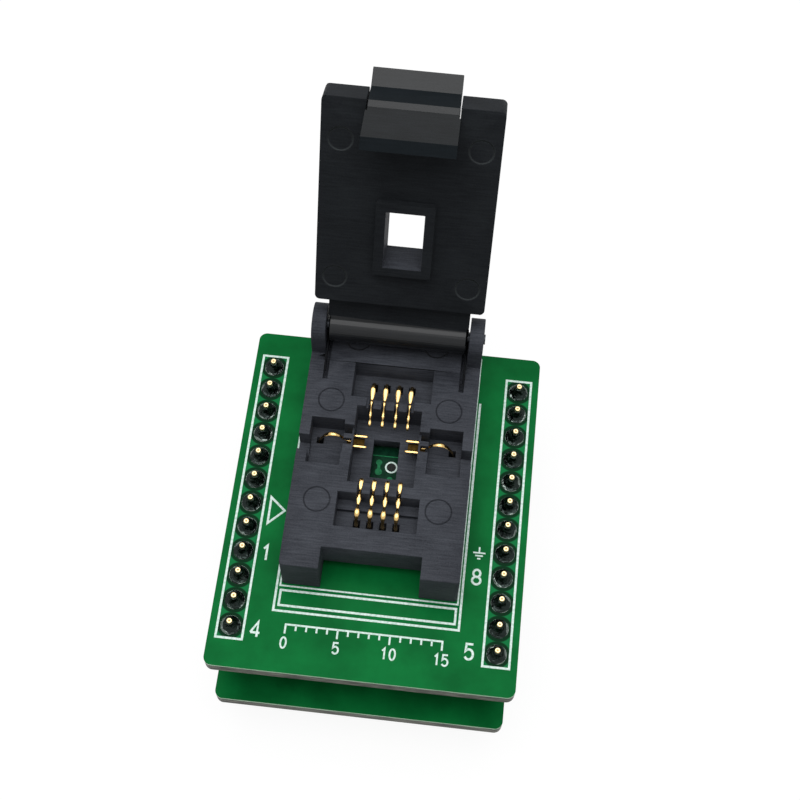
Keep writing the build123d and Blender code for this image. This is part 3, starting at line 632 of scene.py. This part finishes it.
# %% Rubbed faces, painted light in the port, painted shade in the hollows
BARREL_REACH = 1.75
PORT_HALF, PORT_FROM, PORT_TO = 1.83, 4.6, 10.47
HOLLOW_ALONG, HOLLOW_OUT = (20.85, 21.25), (-2.5, -0.4)
HOOK_END_ALONG, HOOK_END_OUT = (18.4, 19.2), (4.02, 4.48)


def face_places(piece):
    """Middles of all faces in mm, and their distances along the lid and out of its inner face."""
    middles = np.zeros(len(piece.data.polygons) * 3)
    piece.data.polygons.foreach_get("center", middles)
    middles = middles.reshape(-1, 3) / MM
    start, one_on, one_out = opened([
        [0, LID_REAR, LID_INNER], [0, LID_REAR - 1, LID_INNER], [0, LID_REAR, LID_INNER - 1]])
    return middles, (middles - start) @ (one_on - start), (middles - start) @ (one_out - start)


def between(values, ends):
    """True where a value lies between two ends."""
    return (values > ends[0]) & (values < ends[1])


middles, along, _ = face_places(lid)
from_hinge = np.hypot(middles[:, 1] - HINGE_Y, middles[:, 2] - HINGE_Z)
port_faces_painted_light = (np.abs(middles[:, 0]) < PORT_HALF) & between(along, (PORT_FROM, PORT_TO))
kind = np.where(port_faces_painted_light, 2, (from_hinge < BARREL_REACH).astype(int))
lid.data.materials.append(barrel_plastic_painted_dark)
lid.data.materials.append(base_plastic)
lid.data.polygons.foreach_set("material_index", kind)
print("rubbed faces", int((kind == 1).sum()), "port faces", int(port_faces_painted_light.sum()))
# Faces in the hollow under the tab and at the hook's end take the matt copy, as painted shade.
_, along, out = face_places(latch)
hollow = (between(along, HOLLOW_ALONG) & between(out, HOLLOW_OUT)
          | between(along, HOOK_END_ALONG) & between(out, HOOK_END_OUT))
latch.data.materials.append(matt_latch_plastic_as_painted_shade)
latch.data.polygons.foreach_set("material_index", hollow.astype(int))
print("hollow faces", int(hollow.sum()), "of", len(hollow))

# %% [markdown]
# ## Round pins in drawn-up solder
# A plug pin is turned on a lathe, so it is a surface of revolution: a profile of radius and
# height, carried round an axis. It is cut off square, with a rounded rim and a dimple.

# %% Round pins
SIDES = 28
PIN_R, PIN_ABOVE, TIP_ROUND = 0.27, 1.46, 0.07
DIMPLE_R, DIMPLE = 0.11, 0.14


def revolved(radii, heights, sides=SIDES):
    """Point (r cos a, r sin a, h) for every (r, h) of the profile and angle a."""
    angle = np.linspace(0, 2 * np.pi, sides, endpoint=False)[:, None]
    x, y = radii * np.cos(angle), radii * np.sin(angle)
    return surface(np.stack([x, y, np.broadcast_to(heights, x.shape)], axis=-1), close_rows=True)


def pin_shape(bottom):
    """Cylinder with a quarter-round rim, then a dimple whose depth falls as a cosine."""
    quarter = np.linspace(0, np.pi / 2, 5)
    top = BOARD_TOP + PIN_ABOVE
    rim_r = PIN_R - TIP_ROUND + TIP_ROUND * np.cos(quarter)
    rim_h = top - TIP_ROUND + TIP_ROUND * np.sin(quarter)
    inward = np.linspace(1, 0, 6)
    dimple_r = DIMPLE_R * inward
    dimple_h = top - DIMPLE * (0.5 + 0.5 * np.cos(np.pi * inward))
    radii = np.concatenate([[0, PIN_R], rim_r, dimple_r])
    return revolved(radii, np.concatenate([[bottom, bottom], rim_h, dimple_h]))


print("pin tips stand", PIN_ABOVE, "mm above the board")

# %% [markdown]
# Melted solder climbs a pin and stays there as a hollow cone, another surface of revolution: its
# radius falls as the square of the way up, from the pad's rim to the pin. The pins that are
# soldered from the other side end in plain beads.

# %% Cones and beads
CONE_R, CONE_NECK_R, CONE_HEIGHT = 0.9, 0.34, 1.05
CONE_FOOT, CONE_RISE, CONE_TOP = 0.05, CONE_HEIGHT - 0.09, CONE_HEIGHT + 0.03
PAD_R, PAD_THICK, PAD_CHAMFER = 0.98, 0.035, 0.02
BEAD_R, BEAD_HEIGHT, BEAD_SIDES = 0.6, 0.6, 18


def cone_shape():
    """Flat pad rim, then radius as (1 - t) squared and height as t to the power 1.5."""
    t = np.linspace(0, 1, 12)
    radii = CONE_NECK_R + (CONE_R - CONE_NECK_R) * (1 - t) ** 2
    heights = PAD_THICK + CONE_FOOT + CONE_RISE * t ** 1.5
    pad_radii = [PIN_R, PAD_R, PAD_R - PAD_CHAMFER, CONE_R + CONE_FOOT]
    radii = np.concatenate([pad_radii, radii, [PIN_R, PIN_R]])
    heights = np.concatenate([[0.0, 0.0, PAD_THICK, PAD_THICK], heights, [CONE_TOP, 0.0]])
    return revolved(radii, heights + BOARD_TOP)


def bead_shape(foot, way):
    """Half ellipsoid over a pin end: radius cos a, height sin a, up or down from a board."""
    a = np.linspace(0, np.pi / 2, 7)
    radii = np.concatenate([[0.0], BEAD_R * np.cos(a)])
    heights = np.concatenate([[0.0], BEAD_HEIGHT * np.sin(a)])
    return revolved(radii, foot + way * heights, BEAD_SIDES)


print("a solder cone has", len(cone_shape()[1]), "faces")

# %% [markdown]
# Each row is one mesh. Cones lie on the upper board. Beads lie under the lower one where its
# sleeves come through, and on top of it where its legs do.

# %% Rows of pins and solder
pins_y = (np.arange(PINS_IN_ROW) - (PINS_IN_ROW - 1) / 2) * PITCH
LOWER_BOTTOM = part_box("lower_board")[0][2] / MM
plug_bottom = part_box("left_plug_pins")[0][2] / MM
for side, sign in (("left", -1), ("right", 1)):
    plug_x, leg_x = sign * ROW_X, sign * 3 * PITCH
    for name, shape, x, metal, body, node in (
            ("round_pins", pin_shape(plug_bottom), plug_x, brass_tip, "socket_board", "plug_pins"),
            ("solder_cones", cone_shape(), plug_x, solder_painted_dark, "socket_board", "plug_solder"),
            ("sleeve_beads", bead_shape(LOWER_BOTTOM, -1), plug_x, tinned, "carrier",
             "sleeve_solder"),
            ("leg_beads", bead_shape(LOWER_TOP, 1), leg_x, tinned, "carrier", "leg_solder")):
        row = make_piece(
            f"{side}_{name}", [moved(shape, x, y) for y in pins_y], metal, body)
        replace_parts(row, f"{side}_{node}")

# %% [markdown]
# ## Leaf contacts
# Each contact is stamped from thin gold-plated strip. The path is a line of a few corners, each
# with its distance out, its height and its width. Cutting every corner at a quarter and three
# quarters of its sides, three times over, turns all three into smooth curves at once. The section
# is a flat ellipse.

# %% Smooth strips
STRIP_THICK, STRIP_SIDES = 0.14, 12
CORNER_CUTS = 3


def rounded_path(corners):
    """Smooth curve from corners: each run a, b gives 3/4 a + 1/4 b and 1/4 a + 3/4 b."""
    path = np.asarray(corners, float)
    for _ in range(CORNER_CUTS):
        a, b = path[:-1], path[1:]
        cut = np.stack([0.75 * a + 0.25 * b, 0.25 * a + 0.75 * b], axis=1)
        path = np.vstack([path[:1], cut.reshape(-1, path.shape[1]), path[-1:]])
    return path


def strip_shape(corners, thick=STRIP_THICK):
    """Ellipse (wide/2 cos a, thick/2 sin a) carried along a rounded (out, up, wide) path."""
    out, up, wide = rounded_path(corners).T
    tangent = np.gradient(np.column_stack([out, up]), axis=0)
    tangent /= np.linalg.norm(tangent, axis=1, keepdims=True)
    a = np.linspace(0, 2 * np.pi, STRIP_SIDES, endpoint=False)
    across, lift = wide[:, None] / 2 * np.cos(a), thick / 2 * np.sin(a)
    y = out[:, None] - tangent[:, 1:] * lift
    z = up[:, None] + tangent[:, :1] * lift
    return surface(np.stack([across, y, z], axis=-1), close_columns=True, caps=True)


def faced(shape, turns, x, y):
    """Turn a shape about Z by quarter turns, then set it at (x, y) on the board."""
    cos, sin = np.round(np.cos(turns * np.pi / 2)), np.round(np.sin(turns * np.pi / 2))
    px, py = shape[0][:, 0], shape[0][:, 1]
    points = np.column_stack([cos * px - sin * py + x, sin * px + cos * py + y, shape[0][:, 2]])
    return points + np.array([0, 0, BOARD_TOP]), shape[1]


print("three corners become", len(rounded_path([(0, 0, 1), (1, 0, 1), (1, 1, 1)])), "points")

# %% [markdown]
# Seen from above a contact swells into leaves where it is free and narrows to necks where it is
# guided, and each leaf arches a little, which catches the light. Front and rear rows differ.

# %% Eight row contacts
NEST_Y, CONTACT_PITCH = 3.95, 1.27
CONTACT_XS = (np.arange(4) - 1.5) * CONTACT_PITCH
FRONT_STRIP = [
    (3.0, 3.4, 0.12), (3.1, 3.95, 0.34), (3.35, 4.1, 0.46), (3.8, 4.08, 0.48),
    (4.25, 4.0, 0.36), (4.5, 4.08, 0.16), (4.85, 4.42, 0.3), (5.1, 4.5, 0.44), (5.5, 4.46, 0.46),
    (5.9, 4.38, 0.3), (6.15, 4.42, 0.16), (6.5, 4.66, 0.34), (6.9, 4.72, 0.48),
    (7.3, 4.5, 0.46), (7.52, 4.15, 0.28), (7.68, 3.5, 0.34), (7.7, 3.0, 0.4), (7.7, -1.6, 0.4)]
REAR_STRIP = [
    (2.88, 3.2, 0.14), (2.95, 3.45, 0.3), (3.25, 3.52, 0.34), (3.42, 3.62, 0.22),
    (3.6, 3.88, 0.2), (3.78, 3.97, 0.3), (3.98, 3.99, 0.26), (4.2, 4.1, 0.2), (4.6, 4.38, 0.2),
    (4.85, 4.49, 0.3), (5.05, 4.5, 0.26), (5.2, 4.44, 0.2), (5.5, 4.48, 0.36), (5.95, 4.64, 0.5),
    (6.35, 4.78, 0.46), (6.7, 4.72, 0.3), (7.1, 4.35, 0.26), (7.5, 3.7, 0.32), (7.7, 3.0, 0.4),
    (7.7, -1.6, 0.4)]

for count, (turns, x) in enumerate(
        [(2, x) for x in CONTACT_XS] + [(0, x) for x in CONTACT_XS[::-1]], start=1):
    strip = strip_shape(FRONT_STRIP if turns == 2 else REAR_STRIP)
    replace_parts(make_piece(
        f"leaf_contact_{count}", [faced(strip, turns, x, NEST_Y)], gold, "socket_board"), f"contact_{count}")

# %% [markdown]
# The two side contacts are forks. A narrow arch stands in the side pocket. It dips through the wall and
# splits into two prongs, with the thin web of the stamping left between them. The web is painted dark brown,
# as painted shade under the prongs.

# %% Forked contacts
FORK_Y, PRONG_SPREAD, WEB_THICK = 5.0, 0.56, 0.08
FORK_STRIP = [
    (3.5, 3.5, 0.3), (4.1, 3.5, 0.26), (4.55, 4.3, 0.3), (5.15, 4.62, 0.42), (5.8, 4.42, 0.4),
    (6.35, 3.6, 0.26), (6.75, 2.6, 0.3), (6.75, -1.6, 0.3)]
PRONG_STRIP = [
    (1.9, 3.42, 0.14), (1.95, 3.5, 0.28), (2.2, 3.53, 0.3), (3.0, 3.53, 0.28), (3.88, 3.5, 0.28)]
WEB_STRIP = [(2.15, 3.2, 0.9), (3.88, 3.3, 0.9)]


def fork_shapes(turns):
    """Arch and two prongs either side of it, facing one way."""
    prong = strip_shape(PRONG_STRIP)
    shapes = [moved(prong, x=side * PRONG_SPREAD) for side in (-1, 1)]
    shapes.append(strip_shape(FORK_STRIP))
    return [faced(shape, turns, 0.0, FORK_Y) for shape in shapes]


for side, turns in (("left", 1), ("right", -1)):
    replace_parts(make_piece(
        f"{side}_forked_contact", fork_shapes(turns), gold, "socket_board"), f"{side}_ground_contact")
    web = strip_shape(WEB_STRIP, thick=WEB_THICK)
    make_piece(
        f"{side}_fork_web", [faced(web, turns, 0.0, FORK_Y)], web_gold_painted_dark, "socket_board")

# %% [markdown]
# The stems of all ten contacts come out under the board, each in a bead of solder.

# %% Contact tails
STEM, FORK_STEM = 7.7, 6.75
tails = [(x, NEST_Y + way * STEM) for way in (-1, 1) for x in CONTACT_XS]
tails += [(way * FORK_STEM, FORK_Y) for way in (-1, 1)]
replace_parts(make_piece(
    "contact_tail_beads", [moved(bead_shape(BOARD_BOTTOM, -1), x, y) for x, y in tails], tinned,
    "socket_board"), "contact_solder")

# %% [markdown]
# ## Springs
# Spring wire is a circle carried along a coil. At each point the section stands square to the
# wire, with one side along the coil's own axis, so it never twists.

# %% Spring wire
LID_WIRE_R, LID_COIL_R, LID_COIL_FROM, LID_COIL_RISE, LID_TURNS = 0.11, 0.78, 6.18, 0.75, 2
STUB_ANGLE, STUB_R, LEG_SLOPE, LEG_LENGTH = 62.1, 1.9, 20, 4.6
LATCH_WIRE_R, LATCH_COIL_R, LATCH_COIL_ALONG, LATCH_TURNS = 0.09, 0.5, 5.04, 3
LATCH_COIL_FROM, LATCH_COIL_RISE = 1.31, 1.95


def wire_shape(path, axis, radius, sides=10):
    """Circle of a radius carried along a path, with one side of each section along the axis."""
    path, axis = np.asarray(path, float), np.asarray(axis, float)
    tangent = np.gradient(path, axis=0)
    tangent /= np.linalg.norm(tangent, axis=1, keepdims=True)
    first = np.cross(tangent, axis)
    first /= np.linalg.norm(first, axis=1, keepdims=True)
    second = np.cross(tangent, first)
    a = np.linspace(0, 2 * np.pi, sides, endpoint=False)[:, None]
    ring = first[:, None] * np.cos(a) + second[:, None] * np.sin(a)
    return surface(path[:, None] + radius * ring, close_columns=True, caps=True)


def lid_spring_path():
    """Stub in the lid, two turns and more about the hinge line, leg down into the base."""
    start, stop = np.radians(STUB_ANGLE), np.radians(LEG_SLOPE - 90 - 360 * LID_TURNS)
    t = np.linspace(0, 1, 130)
    angle = start + (stop - start) * t
    coil = np.column_stack([
        LID_COIL_FROM + LID_COIL_RISE * t, LID_COIL_R * np.cos(angle), LID_COIL_R * np.sin(angle)])
    stub = np.array([[LID_COIL_FROM, STUB_R * np.cos(start), STUB_R * np.sin(start)]])
    slope = np.radians(LEG_SLOPE)
    leg = coil[-1] - LEG_LENGTH * np.array([0, np.cos(slope), np.sin(slope)])
    return np.vstack([stub, coil, leg[None]]) + np.array([0, HINGE_Y, HINGE_Z])


def latch_spring_path(x):
    """Three turns between the lid's pocket and the latch's tail, turned to the open pose."""
    t = np.linspace(0, 1, 120)
    angle = 2 * LATCH_TURNS * np.pi * t
    coil = np.column_stack([
        x + LATCH_COIL_R * np.cos(angle),
        LID_FRONT + LATCH_COIL_ALONG + LATCH_COIL_R * np.sin(angle),
        LID_INNER + LATCH_COIL_FROM + LATCH_COIL_RISE * t])
    return opened(coil)


print("turns:", LID_TURNS, "and more in a lid spring,", LATCH_TURNS, "in a latch spring")

# %% [markdown]
# Springs are what gives when a joint turns. The stub of a torsion spring turns with the lid while its leg
# stays in the base. Here both torsion springs are built in the open pose on no body, and the latch's springs
# ride on the lid.

# %% Four springs
LATCH_COIL_X, POCKET_FLOOR, LATCH_SPRING_KEEP = 2.2, 1.2, 0.76
spring_axis = opened([[0, HINGE_Y, HINGE_Z + 1]])[0] - opened([[0, HINGE_Y, HINGE_Z]])[0]
right_wire = wire_shape(lid_spring_path(), (1, 0, 0), LID_WIRE_R)
for side, sign, shape in (("left", -1, mirrored(right_wire)), ("right", 1, right_wire)):
    spring = make_piece(
        f"{side}_torsion_spring", [shape], spring_steel_painted_dark, None)
    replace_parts(spring, f"{side}_lid_spring")
    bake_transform(spring)
latch_wires = [
    wire_shape(latch_spring_path(side * LATCH_COIL_X), spring_axis, LATCH_WIRE_R)
    for side in (-1, 1)]
latch_coils = make_piece(
    "latch_coils", latch_wires, spring_steel_painted_dark, "lid")
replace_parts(latch_coils, "latch_springs")
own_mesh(latch_coils)

# %% [markdown]
# ## White print on the board
# Board print is ink pushed through a screen: lines of one width, about 0.02 mm thick, with a
# matt face. Each line here is a flat bar carried along its path, with mitred corners.

# %% Ink lines
INK_MM, INK_THICK = 0.22, 0.02
LAYER_STEP, LAYERS = 0.004, 4
LEAST_TURN_COS = 0.4


def printed_line(path, closed=False, width=INK_MM, thick=INK_THICK):
    """Bar along a path: each point goes half a width left and right along the mitred normal."""
    path = np.asarray(path, float)
    if closed:
        before, after = np.roll(path, 1, axis=0), np.roll(path, -1, axis=0)
    else:
        before, after = np.vstack([path[:1], path[:-1]]), np.vstack([path[1:], path[-1:]])
    into, out = path - before, after - path
    if not closed:
        into[0], out[-1] = out[0], into[-1]
    into /= np.linalg.norm(into, axis=1, keepdims=True)
    out /= np.linalg.norm(out, axis=1, keepdims=True)
    normal = np.stack([-(into + out)[:, 1], (into + out)[:, 0]], axis=1)
    normal /= np.linalg.norm(normal, axis=1, keepdims=True)
    turn_cos = np.clip(normal[:, 0] * -out[:, 1] + normal[:, 1] * out[:, 0], LEAST_TURN_COS, 1)
    reach = normal * (width / 2 / turn_cos)[:, None]
    left, right = path + reach, path - reach
    low = np.full(len(path), BOARD_TOP)
    corners = [(left, low), (left, low + thick), (right, low + thick), (right, low)]
    table = np.stack([np.column_stack(pair) for pair in corners], axis=1)
    return surface(table, close_rows=closed, close_columns=True, caps=not closed)


def rectangle(x0, y0, x1, y1):
    """Corners from two opposite ones."""
    return [(x0, y0), (x1, y0), (x1, y1), (x0, y1)]


def oval(x, y, rx, ry, start=0, stop=360, steps=20):
    """Points (x + rx cos a, y + ry sin a) between two angles in degrees."""
    full = abs(stop - start) == 360
    angle = np.radians(np.linspace(start, stop, steps, endpoint=not full))
    return np.column_stack([x + rx * np.cos(angle), y + ry * np.sin(angle)])


def disc(x, y, radius, thick):
    """Low flat disc on the board."""
    profile = revolved(np.array([0, radius, radius, 0]), BOARD_TOP + np.array([0, 0, thick, thick]))
    return moved(profile, x, y)


def layered(shapes):
    """Raise each shape's top a hair more than the last, in fours: no two crossing tops coincide."""
    return [
        (points + np.array([0, 0, LAYER_STEP * (i % LAYERS)]) * (points[:, 2:] > BOARD_TOP), faces)
        for i, (points, faces) in enumerate(shapes)]


print("ink lines", INK_MM, "mm wide")

# %% [markdown]
# Numbers are drawn from single strokes, as a plotter font is. Each digit is a few paths in a unit
# square, stretched to its height and width.

# %% Numbers
SMALL_INK_MM, SMALL_BELOW, DIGIT_GAP = 0.17, 1.2, 0.28
DIGITS = {
    "0": [(oval(0.5, 0.5, 0.42, 0.5), True)],
    "1": [([(0.2, 0.76), (0.55, 1.0), (0.55, 0.0)], False)],
    "4": [([(0.72, 0.0), (0.72, 1.0), (0.0, 0.28)], False), ([(0.0, 0.28), (1.0, 0.28)], False)],
    "5": [(np.vstack([[(0.88, 1.0), (0.16, 1.0)],
                      oval(0.46, 0.33, 0.46, 0.33, 140, -150, 14)]), False)],
    "8": [(oval(0.5, 0.75, 0.38, 0.25), True), (oval(0.5, 0.26, 0.46, 0.26), True)],
}


def number(text, x, y, height, width):
    """Strokes of a number centred on (x, y)."""
    gap = DIGIT_GAP * width
    start = x - (len(text) * width + (len(text) - 1) * gap) / 2
    ink = INK_MM if height > SMALL_BELOW else SMALL_INK_MM
    shapes = []
    for i, digit in enumerate(text):
        for stroke, closed in DIGITS[digit]:
            local = np.asarray(stroke, float) * (width, height)
            corner = (start + i * (width + gap), y - height / 2)
            shapes.append(printed_line(local + corner, closed, ink))
    return shapes


print("digits drawn:", sorted(DIGITS))

# %% [markdown]
# A frame goes round each pin row, three lines round the socket, a triangle at pin one, and the
# earth sign and four pin numbers beside the rows. A plain millimetre scale fills the front.

# %% Print
THIN_INK_MM, EARTH_INK_MM, SCALE_INK_MM = 0.16, 0.15, 0.18
PIN_NUMBER, SCALE_NUMBER = (1.5, 0.88), (1.05, 0.62)
print_shapes = [
    printed_line(
        rectangle(s * ROW_X - FRAME_HALF, -ROW_HALF, s * ROW_X + FRAME_HALF, ROW_HALF), True)
    for s in (-1, 1)
]
for path, closed, width in (
        (rectangle(-8.6, -9.49, 8.6, 17.4), True, THIN_INK_MM),
        (rectangle(-8.48, -11.47, 8.48, -9.95), True, INK_MM),
        ([(-8.92, 12.25), (-8.92, -12.03), (8.92, -12.03), (8.92, 12.25)], False, INK_MM),
        ([(-10.81, -0.5), (-9.3, -1.79), (-10.79, -3.27)], True, INK_MM)):
    print_shapes.append(printed_line(path, closed, width))
for text, x, y in (
        ("1", -10.45, -6.35), ("4", -10.3, -14.1), ("8", 10.15, -6.5), ("5", 10.1, -14.0)):
    print_shapes += number(text, x, y, *PIN_NUMBER)

EARTH_X, EARTH_Y, EARTH_STEM, EARTH_STEP = 10.2, -4.0, 0.6, 0.3
stem = [(EARTH_X, EARTH_Y + EARTH_STEM), (EARTH_X, EARTH_Y)]
print_shapes.append(printed_line(stem, width=THIN_INK_MM))
for step, half in enumerate((0.6, 0.38, 0.16)):
    level = EARTH_Y - EARTH_STEP * step
    print_shapes.append(
        printed_line([(EARTH_X - half, level), (EARTH_X + half, level)], width=EARTH_INK_MM))

SCALE_MM, SCALE_LINE, TICK_TOP, TICK_LONG, TICK_SHORT = 15, -13.3, -13.35, -14.2, -13.85
SCALE_END, SCALE_NUMBER_Y = 7.59, -15.1
for tick in range(SCALE_MM + 1):
    x, numbered = tick - SCALE_MM / 2, tick % 5 == 0
    end = TICK_LONG if numbered else TICK_SHORT
    print_shapes.append(printed_line([(x, TICK_TOP), (x, end)], width=SCALE_INK_MM))
    if numbered:
        print_shapes += number(str(tick), x, SCALE_NUMBER_Y, *SCALE_NUMBER)
print_shapes.append(
    printed_line([(-SCALE_END, SCALE_LINE), (SCALE_END, SCALE_LINE)], width=SCALE_INK_MM))

RING_X, RING_Y, RING_R = 0.64, 4.06, 0.55
print_shapes.append(
    printed_line(oval(RING_X, RING_Y, RING_R, RING_R, steps=28), True, THIN_INK_MM))

white_ink = patchy_material("screened_white_ink", "#b4d6c8", "#e6f6f1", 0.25, 0.55, 0.3)
make_piece("board_print", layered(print_shapes), white_ink, "socket_board")

# %% [markdown]
# Through the window in the base the board shows a few of its tracks. A track is copper under the same
# lacquer, so it is a low ridge of a lighter green. A dark green sheet under them, across the window, is
# painted shade at the bottom of the narrow deep window. One hole is plated through, and a near-black disc
# inside its printed ring is the painted shade inside it.

# %% Tracks in the window
TRACK_THICK, SHADE_PATCH_THICK, HOLE_THICK, HOLE_R = 0.03, 0.008, 0.014, 0.45
track_shapes = [
    printed_line([(-1.6, 5.22), (1.6, 5.22)], width=0.1, thick=TRACK_THICK),
    printed_line([(-0.63, 4.48), (-0.6, 3.45)], width=0.3, thick=TRACK_THICK),
    disc(-0.63, 4.48, 0.31, TRACK_THICK), disc(-0.6, 3.45, 0.36, TRACK_THICK),
    disc(0.615, 2.72, 0.3, TRACK_THICK),
]
track_green = patchy_material("lacquer_over_copper_track", "#14603a", "#257a4e", 0.3, 0.35, 0.05)
window_shade_green = patchy_material("lacquer_darkened_as_painted_shade", "#06271a", "#0d3624", 0.5, 0.35, 0.03)
hole_painted_shade = patchy_material("painted_shade_inside_plated_hole", "#050706", "#1d211e", 0.15, 0.4, 0.1)
window_shade_patch = printed_line([(-1.75, 3.6), (1.75, 3.6)], width=5.4, thick=SHADE_PATCH_THICK)
make_piece("window_painted_shade_patch", [window_shade_patch], window_shade_green, "socket_board")
make_piece("window_tracks", layered(track_shapes), track_green, "socket_board")
# The hole is a near-black disc: painted shade inside the plated hole.
hole = disc(RING_X, RING_Y, HOLE_R, HOLE_THICK)
make_piece("window_hole", [hole], hole_painted_shade, "socket_board")

# %% [markdown]
# ## Stage
# The object stands on white paper, which takes the lamp's shadow. A glow mixed in makes it
# nearly white where it is seen or mirrored, so the shadow stays faint.

# %% Floor
FLOOR_REACH, FLOOR_GLOW, GLOW_LEVEL, PAPER = 1.5, 0.82, 1.12, 0.6
floor_mesh = bpy.data.meshes.new("floor")
corners = [(x * FLOOR_REACH, y * FLOOR_REACH, 0) for x, y in ((-1, -1), (1, -1), (1, 1), (-1, 1))]
floor_mesh.from_pydata(corners, [], [(0, 1, 2, 3)])
floor = bpy.data.objects.new("floor", floor_mesh)
bpy.context.scene.collection.objects.link(floor)


def seen_or_mirrored(tree):
    """1 for rays from the camera, from a reflection or through glass, and 0 for stray light."""
    path = add_node(tree, "ShaderNodeLightPath")
    seen = add_node(tree, "ShaderNodeMath", {
        0: path.outputs["Is Camera Ray"], 1: path.outputs["Is Glossy Ray"]}, operation="MAXIMUM")
    seen = add_node(tree, "ShaderNodeMath", {
        0: seen.outputs[0], 1: path.outputs["Is Transmission Ray"]}, operation="MAXIMUM")
    return seen.outputs[0]


material, tree = new_material("white_paper_floor")
glow = add_node(tree, "ShaderNodeMath", {
    0: seen_or_mirrored(tree), 1: FLOOR_GLOW}, operation="MULTIPLY")
paper = add_node(tree, "ShaderNodeBsdfDiffuse", {"Color": (PAPER, PAPER, PAPER, 1)})
white = add_node(
    tree, "ShaderNodeEmission", {"Color": (1, 1, 1, 1), "Strength": GLOW_LEVEL})
finish_material(tree, add_node(tree, "ShaderNodeMixShader", {
    0: glow.outputs[0], 1: paper.outputs[0], 2: white.outputs[0]}))
floor_mesh.materials.append(material)
print("floor", 2 * FLOOR_REACH, "m across")

# %% [markdown]
# The world is a weak lamp, and white where it is seen or mirrored.

# %% World
WORLD_LEVEL = 0.22
world = bpy.data.worlds.new("studio")
bpy.context.scene.world = world
world.use_nodes = True
tree = world.node_tree
tree.nodes.clear()
strength = add_node(tree, "ShaderNodeMapRange", {
    "Value": seen_or_mirrored(tree), "To Min": WORLD_LEVEL, "To Max": 1.0})
sky = add_node(tree, "ShaderNodeBackground", {
    "Color": (1, 1, 1, 1), "Strength": strength.outputs["Result"]})
add_node(tree, "ShaderNodeOutputWorld", {"Surface": sky.outputs[0]})
print("world level", WORLD_LEVEL)

# %% [markdown]
# One broad soft lamp hangs above and a little behind, so tops are light, the faces that look at
# the camera stay nearly black, and gold mirrors the lamp.

# %% Lamp
LAMP_FAR_M, LAMP_SIZE_M, LAMP_WATTS = 0.4, 0.4, 1.6
lamp_data = bpy.data.lights.new("soft_overhead_lamp", "AREA")
lamp_data.size = LAMP_SIZE_M
lamp_data.energy = LAMP_WATTS
lamp = bpy.data.objects.new("soft_overhead_lamp", lamp_data)
bpy.context.scene.collection.objects.link(lamp)
lamp_from = Vector((-0.03, 0.05, 1.0)).normalized() * LAMP_FAR_M
lamp.location = lamp_from
lamp.rotation_euler = lamp_from.to_track_quat("Z", "Y").to_euler()
bpy.context.scene.view_settings.view_transform = "Standard"
print("lamp at", [round(x / MM) for x in lamp_from], "mm")
